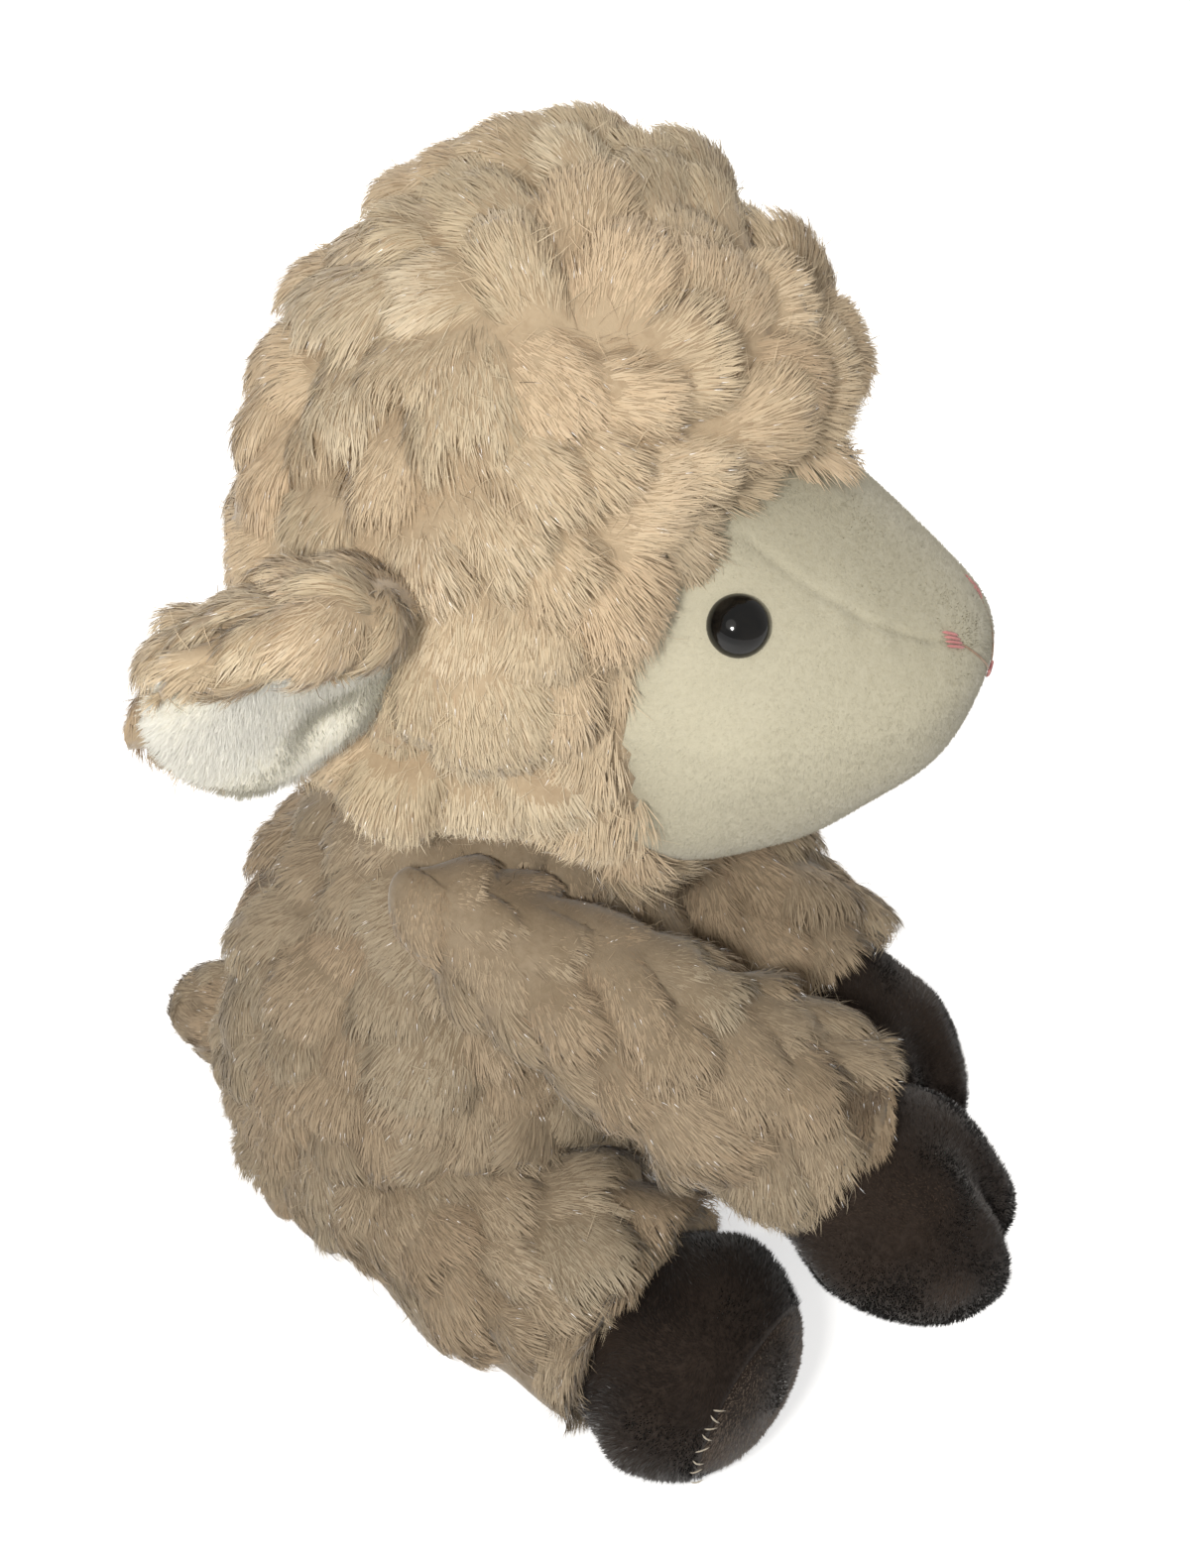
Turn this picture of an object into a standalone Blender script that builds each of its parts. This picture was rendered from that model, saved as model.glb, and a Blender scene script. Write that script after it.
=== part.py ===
"""Seated plush sheep: wool covers, stuffing, short-pile face and cloven hooves, on sewn joints.

Metres, +Z up. The sheep faces -Y and its left side is at +X. The origin is the middle of its
flat seat, on the surface that it sits on.
"""

import math
from collections import namedtuple

import bmesh
import bpy
from mathutils import Matrix, Vector

# Fabric, gaps and cuts
sewing_gap = 0.0004
wool_thickness = 0.008
lock_depth = 0.0025
pile_thickness = 0.0025
cut_overrun = 0.020
swing_copies = 3
round_shares = ((-1.0, 1.0, 1.0), (1.0, 1.0, 1.0))

# Torso, with the neck opening on top
torso_width = 0.100
torso_depth = 0.086
torso_height = 0.117
torso_seat_sink = 0.016
torso_crown = 0.006
torso_segments = 30
torso_rings = 15
torso_lining_segments = 24
torso_lining_rings = 12
torso_swell_shares = ((-1.0, 1.30, 1.30), (-0.8, 1.12, 1.12), (0.0, 1.0, 1.0), (0.6, 0.86, 0.90), (1.0, 1.05, 1.05))

# Bag of pellets in the seat
pellet_bag_width = 0.052
pellet_bag_height = 0.020

# Wad of stuffing in the neck, on which the head turns and nods
neck_radius = 0.0135
neck_nod = 8.0
neck_slope_spare = 2.0
neck_mouth_share = 0.60

# Head under its wool hood
head_width = 0.114
head_depth = 0.102
head_height = 0.114
head_set_back = 0.004
head_sunk = 0.006
head_segments = 36
head_rings = 18
head_lining_segments = 28
head_lining_rings = 14
head_swell_shares = ((-1.0, 1.7, 1.7), (-0.8, 1.42, 1.42), (-0.45, 1.08, 1.06), (0.0, 1.0, 1.0), (0.7, 0.90, 0.93), (1.0, 0.92, 0.92))

# Face: one stuffed muzzle of three panels
muzzle_width = 0.087
muzzle_height = 0.088
muzzle_reach = 0.077
muzzle_back = 0.026
muzzle_drop = 0.021
muzzle_rise = 0.008
muzzle_segments = 26
muzzle_rings = 13
muzzle_swell_shares = ((-1.0, 1.0, 1.0), (-0.3, 1.02, 1.0), (0.3, 1.00, 1.0), (0.8, 0.97, 0.96), (1.0, 1.0, 1.0))
muzzle_brow_narrow_share = 0.25
muzzle_brow_low_share = 0.47
face_rim_depth = 0.020
face_tuck = 0.005
face_opening_width = 0.096
face_opening_height = 0.078
face_opening_lift = 0.004
face_opening_depth = 0.018
face_opening_corner_share = 0.75
bridge_seam_width = 0.060
bridge_seam_rise = 0.030
seam_lean_share = 0.70

# Stitched nose
nose_width = 0.008
nose_height = 0.005
nose_thickness = 0.0016
nose_standing_share = 0.25

# Safety eyes
eye_width = 0.011
eye_crown = 0.0042
eye_flange = 0.0012
eye_side_share = 0.3908046
eye_rise = 0.0215
eye_forward = 0.044
eye_segments = 16
eye_steps = 5
stem_radius = 0.0019
stem_rib = 0.0004
stem_length = 0.013
stem_ribs = 3
stem_point_share = 0.6
stem_ribbed_share = 0.7
washer_radius = 0.0065
washer_thickness = 0.0012
washer_boss = 0.0016

# Ears
ear_length = 0.041
ear_root = 0.005
ear_width = 0.038
ear_wool = 0.012
ear_lining_depth = 0.005
ear_cup = 0.006
ear_swing = 15.0
ear_side_share = 0.94
ear_back_share = 0.09
ear_drop_share = 0.075
ear_columns = 8
ear_rings = 8
ear_swell_shares = ((-1.0, 1.0, 1.0), (-0.4, 1.0, 1.0), (0.5, 1.12, 1.05), (1.0, 1.2, 1.0))
ear_out_shares = (0.76, 0.62, -0.16)
ear_face_shares = (0.60, -0.75, -0.25)

# Arms
arm_width = 0.035
arm_length = 0.077
arm_root = 0.018
arm_swell_shares = ((-1.0, 1.0, 1.0), (-0.3, 0.98, 0.98), (0.6, 1.14, 1.14), (1.0, 1.3, 1.3))
arm_droop_left = 24.0
arm_droop_right = 19.0
arm_converge_left = 18.0
arm_converge_right = 6.0
arm_swing_tilt = 28.0
arm_open = 24.0
arm_close = 1.0
arm_cuff_depth = 0.012
shoulder_side_share = 0.76
shoulder_height_share = 0.82
shoulder_forward_share_left = 0.0
shoulder_forward_share_right = 0.09

# Legs
leg_width = 0.050
leg_length = 0.058
leg_root = 0.026
leg_swell_shares = ((-1.0, 1.0, 1.0), (0.0, 1.0, 1.0), (0.6, 1.05, 1.02), (1.0, 1.35, 1.3))
leg_splay = 15.0
leg_open = 16.0
leg_close = 3.0
leg_cuff_depth = 0.012
hip_side_share = 0.62
hip_forward_share = 0.05
floor_gap = 0.0004

# Limbs in common
limb_segments = 18
limb_rings = 10
sleeve_overrun = 0.032

# Fore hooves
fore_hoof_width = 0.042
fore_hoof_height = 0.036
fore_hoof_reach = 0.045
fore_hoof_sag = 0.003
fore_hoof_notch = 0.006
fore_hoof_pitch = 8.0

# Hind hooves, each with a sole panel in front
hind_hoof_width = 0.046
hind_hoof_height = 0.044
hind_hoof_reach = 0.030
hind_hoof_sag = 0.0024
sole_depth = 0.006

# Hooves in common
hoof_root = 0.016
hoof_segments = 20
hoof_rings = 10
hoof_corner_share = 0.80
hoof_swell_shares = ((-1.0, 0.76, 0.76), (-0.3, 0.84, 0.84), (0.2, 1.0, 1.0), (1.0, 1.0, 1.0))
cleft_width_share = 0.42
cleft_depth_share = 0.22
cleft_root_share = 0.25

# Tail
tail_width = 0.018
tail_length = 0.018
tail_root = 0.008
tail_height = 0.020
tail_swing = 15.0
tail_droop = 20.0

# What follows from these sizes
seat_to_crown = torso_height + torso_crown + torso_seat_sink
head_low = torso_height - head_sunk
head_high = head_low + head_height
head_middle = head_low + head_height / 2
muzzle_middle = head_middle - muzzle_drop
muzzle_tip = muzzle_reach + head_set_back
leg_middle = leg_width / 2 + floor_gap
inner_gap = wool_thickness + sewing_gap

Limb = namedtuple("Limb", "kind width length root swell cuff hoof hoof_width hoof_height reach sag pitch notch sole")


def clear_scene():
    for obj in list(bpy.data.objects):
        bpy.data.objects.remove(obj)


def fabric(name, colour, roughness):
    material = bpy.data.materials.new(name)
    material.use_nodes = True
    shader = material.node_tree.nodes["Principled BSDF"]
    shader.inputs["Base Color"].default_value = (*colour, 1.0)
    shader.inputs["Roughness"].default_value = roughness
    shader.inputs["Metallic"].default_value = 0.0
    return material


def eased(stations, share):
    """The widths at a share of the length, easing from each station to the next."""
    for (low, *before), (high, *after) in zip(stations, stations[1:]):
        if share <= high:
            step = min(max((share - low) / (high - low), 0.0), 1.0)
            step = step * step * (3 - 2 * step)
            return [a + (b - a) * step for a, b in zip(before, after)]
    return stations[-1][1:]


def egg(low, high, half_width, half_depth, swell_shares, rings, segments, corner_share=1.0, bend=None):
    """A closed stuffed form along Z, from its low pole to its high one.

    A corner share under one makes it boxier.
    """

    def boxed(value):
        return math.copysign(abs(value) ** corner_share, value)

    shape = bmesh.new()
    loops = []
    turns = [2 * math.pi * k / segments for k in range(segments)]
    for ring in range(1, rings):
        share = math.sin(math.pi * (ring / rings - 0.5))
        wide, deep = eased(swell_shares, share)
        radius = math.sqrt(1 - share * share) ** corner_share
        height = (low + high) / 2 + (high - low) / 2 * share
        loop = []
        for turn in turns:
            across = half_width * wide * radius * boxed(math.cos(turn))
            along = half_depth * deep * radius * boxed(math.sin(turn))
            loop.append(shape.verts.new((across, along, height)))
        loops.append(loop)
    foot = shape.verts.new((0, 0, low))
    tip = shape.verts.new((0, 0, high))
    for k in range(segments):
        n = (k + 1) % segments
        shape.faces.new((foot, loops[0][n], loops[0][k]))
        shape.faces.new((tip, loops[-1][k], loops[-1][n]))
        for below, above in zip(loops, loops[1:]):
            shape.faces.new((below[k], below[n], above[n], above[k]))
    if bend:
        for vert in shape.verts:
            vert.co = bend(vert.co)
    shape.normal_update()
    return shape


def grown(shape, distance):
    """A copy of the form, swollen by a distance, or shrunk by a negative one."""
    copy = shape.copy()
    copy.normal_update()
    places = [vert.co + vert.normal * distance for vert in copy.verts]
    for vert, place in zip(copy.verts, places):
        vert.co = place
    copy.normal_update()
    return copy


def tufted(shape, segments, seams):
    """The form with every other point of each row drawn in, so that the locks between them stand out.

    It is drawn in less towards its poles, where the points crowd, and stays plain near a (point, reach)
    seam, where another piece is sewn on.
    """
    copy = shape.copy()
    copy.normal_update()
    rows = len(copy.verts) // segments + 1
    away = [vert for vert in copy.verts if all((vert.co - point).length > reach for point, reach in seams)]
    drawn_in = [vert for vert in away if (vert.index // segments + vert.index % segments) % 2]
    for vert, normal in [(vert, vert.normal.copy()) for vert in drawn_in]:
        crowding = math.sin(math.pi * (vert.index // segments + 1) / rows)
        vert.co -= normal * lock_depth * crowding
    low = set(drawn_in)
    for face in copy.faces[:]:
        corners = [vert for vert in face.verts if vert in low]
        if len(face.verts) == 4 and len(corners) == 2:
            bmesh.utils.face_split(face, *corners)
    copy.normal_update()
    return copy


def clipped(shape, point, normal):
    """The form with what lies beyond a plane cut away and the cut closed."""
    copy = shape.copy()
    everything = copy.verts[:] + copy.edges[:] + copy.faces[:]
    bmesh.ops.bisect_plane(copy, geom=everything, plane_co=point, plane_no=normal, clear_outer=True)
    edges = [edge for edge in copy.edges if edge.is_boundary]
    bmesh.ops.holes_fill(copy, edges=edges)
    bmesh.ops.recalc_face_normals(copy, faces=copy.faces)
    copy.normal_update()
    return copy


def turned_profile(points, segments):
    """A turned form about Z from (radius, height) points, low end first, both ends on the axis."""
    shape = bmesh.new()
    loops = []
    for radius, height in points:
        if radius == 0:
            loops.append([shape.verts.new((0, 0, height))])
            continue
        turns = [2 * math.pi * k / segments for k in range(segments)]
        loops.append([shape.verts.new((radius * math.cos(t), radius * math.sin(t), height)) for t in turns])
    for below, above in zip(loops, loops[1:]):
        for k in range(segments):
            n = (k + 1) % segments
            if len(below) == 1:
                shape.faces.new((below[0], above[n], above[k]))
            elif len(above) == 1:
                shape.faces.new((below[k], below[n], above[0]))
            else:
                shape.faces.new((below[k], below[n], above[n], above[k]))
    shape.normal_update()
    return shape


def place(name, shape, parent=None, matrix=None):
    mesh = bpy.data.meshes.new(name)
    shape.to_mesh(mesh)
    obj = bpy.data.objects.new(name, mesh)
    bpy.context.scene.collection.objects.link(obj)
    obj.parent = parent
    if matrix is not None:
        obj.matrix_basis = matrix
    return obj


def piece(name, shape, material, parent=None, matrix=None):
    """A sub-part that becomes a node."""
    obj = place(name, shape, parent, matrix)
    obj.data.materials.append(material)
    obj.data.shade_smooth()
    obj.data.set_sharp_from_angle(angle=math.radians(50))
    return obj


def guide(name, shape, parent=None, matrix=None):
    """A form that only cuts or fills others."""
    obj = place(name, shape, parent, matrix)
    obj.hide_render = True
    obj.display_type = "WIRE"
    return obj


def combine(target, operation, *tools):
    for tool in tools:
        step = target.modifiers.new(operation.lower() + "_" + tool.name, "BOOLEAN")
        step.operation = operation
        step.solver = "EXACT"
        step.object = tool


def cut(target, *tools):
    combine(target, "DIFFERENCE", *tools)


def joint_empty(name, position, rotation=(0, 0, 0)):
    empty = bpy.data.objects.new(name, None)
    empty.location = position
    empty.rotation_euler = rotation
    bpy.context.scene.collection.objects.link(empty)
    return empty


def swung_copies(name, shape, pivot, axis, low, high):
    """Copies of a fixed form, turned as a piece on a joint meets it over the joint's range."""
    copies = []
    for k in range(swing_copies):
        angle = math.radians(low + (high - low) * k / (swing_copies - 1))
        about = Matrix.Translation(pivot) @ Matrix.Rotation(-angle, 4, axis) @ Matrix.Translation(-pivot)
        copies.append(guide(f"{name}_{k}", shape, matrix=about))
    return copies


def torso_form(rings, segments):
    high = torso_height + torso_crown
    half_width = torso_width / 2
    half_depth = torso_depth / 2
    return egg(-torso_seat_sink, high, half_width, half_depth, torso_swell_shares, rings, segments)


def build_torso(wool, lining, pellets):
    form = torso_form(torso_rings, torso_segments)
    plain = torso_form(torso_lining_rings, torso_lining_segments)
    floor = Vector((0, 0, 0))
    down = Vector((0, 0, -1))
    top = Vector((0, 0, torso_height))
    tail_seam = (tail_root_place(), tail_width)
    seated = clipped(tufted(form, torso_segments, [tail_seam]), floor, down)
    cover = piece("torso_cover", clipped(seated, top, -down), wool)
    inside = clipped(grown(plain, -wool_thickness), floor - down * wool_thickness, down)
    stuffing = clipped(grown(plain, -inner_gap), floor - down * inner_gap, down)
    filling = piece("torso_filling", clipped(stuffing, top, -down), lining)
    bag_low = inner_gap + sewing_gap
    bag = egg(
        bag_low - pellet_bag_height / 2,
        bag_low + pellet_bag_height,
        pellet_bag_width / 2,
        pellet_bag_width / 2,
        round_shares,
        limb_rings,
        limb_segments,
    )
    piece("pellet_bag", clipped(bag, floor - down * bag_low, down), pellets)
    cut(cover, guide("torso_inside", inside))
    cut(filling, guide("pellet_bag_room", grown(bag, sewing_gap)))
    return cover, filling, form


def build_neck(lining, covers_below, covers_above, head_filling):
    ball = egg(-neck_radius, neck_radius, neck_radius, neck_radius, round_shares, limb_rings, limb_segments)
    turn = joint_empty("neck_pivot", Vector((0, 0, torso_height)))
    piece("neck_stuffing", ball, lining, turn)
    socket = guide("neck_socket", grown(ball, sewing_gap * 2), turn)
    slope = math.tan(math.radians(neck_nod + neck_slope_spare))
    mouth = torso_width / 2 * neck_mouth_share
    lip = mouth + mouth * slope
    profile = ((0, -head_height), (lip, -head_height), (lip, -mouth * slope), (mouth, mouth * slope))
    cone = turned_profile((*profile, (0, sewing_gap)), torso_segments)
    well = turned_profile((*profile, (mouth, wool_thickness * 2), (0, wool_thickness * 2)), torso_segments)
    for target in covers_below:
        cut(target, socket)
    neck_well = guide("neck_well", well, turn)
    for target in covers_above:
        cut(target, neck_well)
    cut(head_filling, guide("neck_clearance", cone, turn), socket)


def muzzle_matrix():
    """Local Z runs forward out of the face, local Y up."""
    return Matrix.Translation((0, head_set_back, muzzle_middle)) @ Matrix.Rotation(math.radians(90), 4, "X")


def muzzle_form():
    def lifted(point):
        share = max(point.z / muzzle_tip, 0.0)
        brow = max(point.y / (muzzle_height / 2), 0.0)
        across = point.x * (1 - muzzle_brow_narrow_share * brow * share)
        low = 1 - muzzle_brow_low_share * share if point.y > 0 else 1
        return Vector((across, point.y * low + muzzle_rise * share * share, point.z))

    return egg(
        -muzzle_back,
        muzzle_tip,
        muzzle_width / 2,
        muzzle_height / 2,
        muzzle_swell_shares,
        muzzle_rings,
        muzzle_segments,
        bend=lifted,
    )


def seam_plane(side):
    """The plane through the seam from the nose to one end of the brow, facing out of the bridge."""
    nose = Vector((0, muzzle_rise, muzzle_tip))
    brow = Vector((side * bridge_seam_width / 2, bridge_seam_rise, face_rim_depth))
    lean = Vector((side * seam_lean_share, 1, 0))
    normal = (brow - nose).cross(lean).normalized() * side
    return nose, normal if normal.y < 0 else -normal


def build_face(face_cloth, thread, muzzle, aim):
    rim = Vector((0, 0, face_rim_depth))
    front = clipped(muzzle, rim, Vector((0, 0, -1)))
    inside = guide("muzzle_inside", grown(muzzle, -pile_thickness), matrix=aim)
    half_gap = sewing_gap / 2
    bridge_form = front
    panels = []
    for side, name in ((1, "left"), (-1, "right")):
        point, out = seam_plane(side)
        bridge_form = clipped(bridge_form, point - out * half_gap, out)
        cheek_form = clipped(front, point + out * half_gap, -out)
        cheek_form = clipped(cheek_form, Vector((side * half_gap, 0, 0)), Vector((-side, 0, 0)))
        panels.append(piece(f"face_cheek_{name}", cheek_form, face_cloth, matrix=aim))
    panels.append(piece("face_bridge", bridge_form, face_cloth, matrix=aim))

    standing = muzzle_tip + nose_thickness * (nose_standing_share - 0.5)
    pad = egg(
        standing - nose_thickness / 2,
        standing + nose_thickness / 2,
        nose_width / 2,
        nose_height / 2,
        round_shares,
        ear_rings // 2,
        eye_segments,
    )
    raised = aim @ Matrix.Translation((0, muzzle_rise, 0))
    piece("nose_stitching", pad, thread, matrix=raised)
    nose_room = guide("nose_room", grown(pad, sewing_gap), matrix=raised)
    for panel in panels:
        cut(panel, inside, nose_room)
    return panels[:2]


def opening_form():
    """The squarish hole in the hood for the face."""
    shape = bmesh.new()
    bmesh.ops.create_cone(shape, cap_ends=True, segments=muzzle_segments, radius1=1, radius2=1, depth=1)
    for vert in shape.verts:
        across = math.copysign(abs(vert.co.x) ** face_opening_corner_share, vert.co.x)
        up = math.copysign(abs(vert.co.y) ** face_opening_corner_share, vert.co.y)
        vert.co.x = across * face_opening_width / 2
        vert.co.y = face_opening_lift + up * face_opening_height / 2
        vert.co.z = face_opening_depth + (vert.co.z + 0.5) * (muzzle_tip + cut_overrun)
    return shape


def head_form(rings, segments):
    return egg(head_low, head_high, head_width / 2, head_depth / 2, head_swell_shares, rings, segments)


def build_head(wool, lining, muzzle, aim):
    sit = Matrix.Translation((0, head_set_back, 0))
    form = head_form(head_rings, head_segments)
    plain = head_form(head_lining_rings, head_lining_segments)
    front = Vector((0, 0, 1))
    rim = front * (face_rim_depth - sewing_gap)
    tuck = front * (face_rim_depth - face_tuck)
    room = grown(muzzle, sewing_gap)
    seams = [(ear_root_place(side) - sit.translation, ear_width / 2) for side in (1, -1)]
    face_middle = Vector((0, -head_depth / 2, muzzle_middle + face_opening_lift))
    seams.append((face_middle, math.hypot(face_opening_width, face_opening_height) / 2))
    hood = piece("head_hood", tufted(form, head_segments, seams), wool, matrix=sit)
    cut(
        hood,
        guide("hood_inside", grown(plain, -wool_thickness), matrix=sit),
        guide("face_opening", opening_form(), matrix=aim),
        guide("face_tuck_room", clipped(room, tuck - front * sewing_gap, -front), matrix=aim),
    )
    filling = piece("head_filling", grown(plain, -inner_gap), lining, matrix=sit)
    cut(filling, guide("face_room", clipped(room, rim, -front), matrix=aim))
    stuffing = clipped(grown(muzzle, -pile_thickness - sewing_gap), tuck, -front)
    combine(filling, "UNION", guide("muzzle_stuffing", stuffing, matrix=aim))
    return form, hood, filling


def surface_place(shape, matrix, towards):
    """A point on a form and the way out of it there, found along a ray to its middle."""
    mesh = bpy.data.meshes.new("probe")
    shape.to_mesh(mesh)
    probe = bpy.data.objects.new("probe", mesh)
    bpy.context.scene.collection.objects.link(probe)
    bpy.context.view_layer.update()
    start = Vector(towards) * 2
    _, point, _, _ = probe.ray_cast(start, -start.normalized())
    near = sorted(probe.data.vertices, key=lambda vert: (vert.co - point).length)[:4]
    smooth = sum((vert.normal / (vert.co - point).length for vert in near), Vector())
    bpy.data.objects.remove(probe)
    bpy.data.meshes.remove(mesh)
    return matrix @ point, (matrix.to_3x3() @ smooth).normalized()


def eye_profile():
    """Dome, flange and ribbed stem of a safety eye, from the end of the stem to the top of the dome."""
    waist = stem_radius - stem_rib
    points = [(0, -stem_length), (stem_radius * stem_point_share, -stem_length)]
    pitch = stem_length * stem_ribbed_share / stem_ribs
    for k in range(stem_ribs):
        start = -stem_length + (k + 0.5) * pitch
        points.append((waist, start))
        points.append((stem_radius, start + pitch / 2))
    points.append((waist, -stem_length + (stem_ribs + 0.5) * pitch))
    points.append((waist, 0))
    radius = eye_width / 2
    points.append((radius, 0))
    for k in range(eye_steps):
        angle = math.pi / 2 * k / eye_steps
        points.append((radius * math.cos(angle), eye_flange + eye_crown * math.sin(angle)))
    points.append((0, eye_flange + eye_crown))
    return points


def washer_form():
    """The lock washer that grips the stem behind the cloth: a disc with a raised boss and a bore."""
    hole = stem_radius + sewing_gap
    profile = (
        (hole, 0),
        (washer_radius, 0),
        (washer_radius, washer_thickness),
        (hole + washer_boss, washer_thickness),
        (hole + washer_boss, washer_thickness * 2),
        (hole, washer_thickness * 2),
    )
    shape = bmesh.new()
    loops = []
    turns = [2 * math.pi * k / eye_segments for k in range(eye_segments)]
    for radius, height in profile:
        loops.append([shape.verts.new((radius * math.cos(t), radius * math.sin(t), -height)) for t in turns])
    for below, above in zip(loops, loops[1:] + loops[:1]):
        for k in range(eye_segments):
            n = (k + 1) % eye_segments
            shape.faces.new((below[k], below[n], above[n], above[k]))
    bmesh.ops.recalc_face_normals(shape, faces=shape.faces)
    return shape


def build_eyes(black, clear_plastic, muzzle, aim, cheeks, filling):
    radius = eye_width / 2
    for side, name, cheek in ((1, "left", cheeks[0]), (-1, "right", cheeks[1])):
        point, out = surface_place(muzzle, aim, (side * muzzle_width * eye_side_share, eye_rise, eye_forward))
        seat = point - out * radius * radius / muzzle_width
        facing = out.to_track_quat("Z", "Y").to_matrix().to_4x4()
        stand = Matrix.Translation(seat) @ facing
        piece(f"eye_{name}", turned_profile(eye_profile(), eye_segments), black, matrix=stand)
        stem_room = stem_radius + sewing_gap
        flange_room = radius + sewing_gap
        pocket = (
            (0, -stem_length - sewing_gap),
            (stem_room, -stem_length - sewing_gap),
            (stem_room, -sewing_gap),
            (flange_room, -sewing_gap),
            (flange_room, cut_overrun),
            (0, cut_overrun),
        )
        room = guide(f"eye_room_{name}", turned_profile(pocket, eye_segments), matrix=stand)
        behind = pile_thickness + sewing_gap + washer_radius * washer_radius / muzzle_width
        rest = stand @ Matrix.Translation((0, 0, -behind))
        piece(f"eye_washer_{name}", washer_form(), clear_plastic, matrix=rest)
        washer_pocket = (
            (0, -washer_thickness * 2 - sewing_gap),
            (washer_radius + sewing_gap, -washer_thickness * 2 - sewing_gap),
            (washer_radius + sewing_gap, behind),
            (0, behind),
        )
        washer_room = guide(f"washer_room_{name}", turned_profile(washer_pocket, eye_segments), matrix=rest)
        cut(cheek, room)
        cut(filling, room, washer_room)


def hoof_form(limb):
    """A rounded hoof along Z, cloven at its toe where it has a notch."""

    def cloven(point):
        share = min(max(point.z / limb.reach - cleft_root_share, 0.0) / (1 - cleft_root_share), 1.0)
        aside = abs(point.x) / (limb.hoof_width / 2)
        groove = max(1 - aside / cleft_width_share, 0.0) * share
        pinched = point.y * (1 - cleft_depth_share * groove)
        return Vector((point.x, pinched, point.z - limb.notch * groove))

    return egg(
        -hoof_root,
        limb.reach,
        limb.hoof_width / 2,
        limb.hoof_height / 2,
        hoof_swell_shares,
        hoof_rings,
        hoof_segments,
        corner_share=hoof_corner_share,
        bend=cloven if limb.notch else None,
    )


def stuffed_limb(limb, side, wool, lining, hoof_cloth, pivot, torso_copies):
    """A wool sleeve, its hoof and the stuffing that runs through both."""

    def sleeve(inset):
        half = limb.width / 2 - inset
        low = inset - limb.root
        high = limb.length + sleeve_overrun - inset
        return egg(low, high, half, half, limb.swell, limb_rings, limb_segments)

    out = Vector((0, 0, 1))
    cover = piece(f"{limb.kind}_cover_{side}", clipped(sleeve(0), out * limb.length, out), wool, pivot)
    hoof = hoof_form(limb)
    root = -hoof_root / 2
    seat = Matrix.Translation((0, -limb.sag, limb.length - limb.cuff - root))
    seat = seat @ Matrix.Rotation(math.radians(limb.pitch), 4, "X")
    cut(
        cover,
        guide(f"{limb.kind}_inside_{side}", sleeve(wool_thickness), pivot),
        guide(f"{limb.hoof}_pass_{side}", grown(hoof, sewing_gap), pivot, seat),
    )
    room = guide(f"{limb.hoof}_room_{side}", grown(hoof, -pile_thickness), pivot, seat)
    level = Matrix.Rotation(-math.radians(limb.pitch), 3, "X") @ out
    shell = clipped(hoof, out * root, -level)
    if limb.sole:
        seam = out * (limb.reach - limb.sole)
        gap = out * sewing_gap / 2
        sole = piece(f"hind_sole_{side}", clipped(shell, seam + gap, -out), hoof_cloth, pivot, seat)
        cut(sole, room)
        shell = clipped(shell, seam - gap, out)
    cut(piece(f"{limb.hoof}_{side}", shell, hoof_cloth, pivot, seat), room)
    stuffing = clipped(sleeve(inner_gap), out * (limb.length - limb.cuff - sewing_gap), out)
    filling = piece(f"{limb.kind}_filling_{side}", stuffing, lining, pivot)
    toe_stuffing = guide(f"{limb.hoof}_stuffing_{side}", grown(hoof, -pile_thickness - sewing_gap), pivot, seat)
    combine(filling, "UNION", toe_stuffing)
    for target in (cover, filling):
        cut(target, *torso_copies)


def build_arms(wool, lining, hoof_cloth, blocker):
    arm = Limb(
        "arm", arm_width, arm_length, arm_root, arm_swell_shares, arm_cuff_depth,
        "fore_hoof", fore_hoof_width, fore_hoof_height, fore_hoof_reach,
        fore_hoof_sag, fore_hoof_pitch, fore_hoof_notch, 0,
    )
    tilt = math.radians(arm_swing_tilt)
    poses = (
        (1, "left", arm_droop_left, arm_converge_left, shoulder_forward_share_left),
        (-1, "right", arm_droop_right, arm_converge_right, shoulder_forward_share_right),
    )
    for side, name, droop, converge, forward_share in poses:
        across = side * torso_width / 2 * shoulder_side_share
        forward = -torso_depth * forward_share
        shoulder = Vector((across, forward, torso_height * shoulder_height_share))
        turn = (math.radians(90 + droop), 0, -side * math.radians(converge))
        pivot = joint_empty(f"shoulder_{name}", shoulder, turn)
        axis = Vector((-math.sin(tilt), 0, side * math.cos(tilt)))
        copies = swung_copies(f"torso_past_arm_{name}", blocker, shoulder, axis, -arm_close, arm_open)
        stuffed_limb(arm, name, wool, lining, hoof_cloth, pivot, copies)


def build_legs(wool, lining, hoof_cloth, blocker):
    leg = Limb(
        "leg", leg_width, leg_length, leg_root, leg_swell_shares, leg_cuff_depth,
        "hind_hoof", hind_hoof_width, hind_hoof_height, hind_hoof_reach,
        hind_hoof_sag, 0, 0, sole_depth,
    )
    for side, name in ((1, "left"), (-1, "right")):
        across = side * torso_width / 2 * hip_side_share
        hip = Vector((across, -torso_depth * hip_forward_share, leg_middle))
        turn = (math.radians(90), 0, side * math.radians(leg_splay))
        pivot = joint_empty(f"hip_{name}", hip, turn)
        axis = Vector((0, 0, side))
        copies = swung_copies(f"torso_past_leg_{name}", blocker, hip, axis, -leg_close, leg_open)
        stuffed_limb(leg, name, wool, lining, hoof_cloth, pivot, copies)


def tail_root_place():
    height_share = (tail_height + torso_seat_sink) / seat_to_crown * 2 - 1
    _, deep = eased(torso_swell_shares, height_share)
    back = torso_depth / 2 * deep * math.sqrt(1 - height_share * height_share)
    return Vector((0, back, tail_height))


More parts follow.
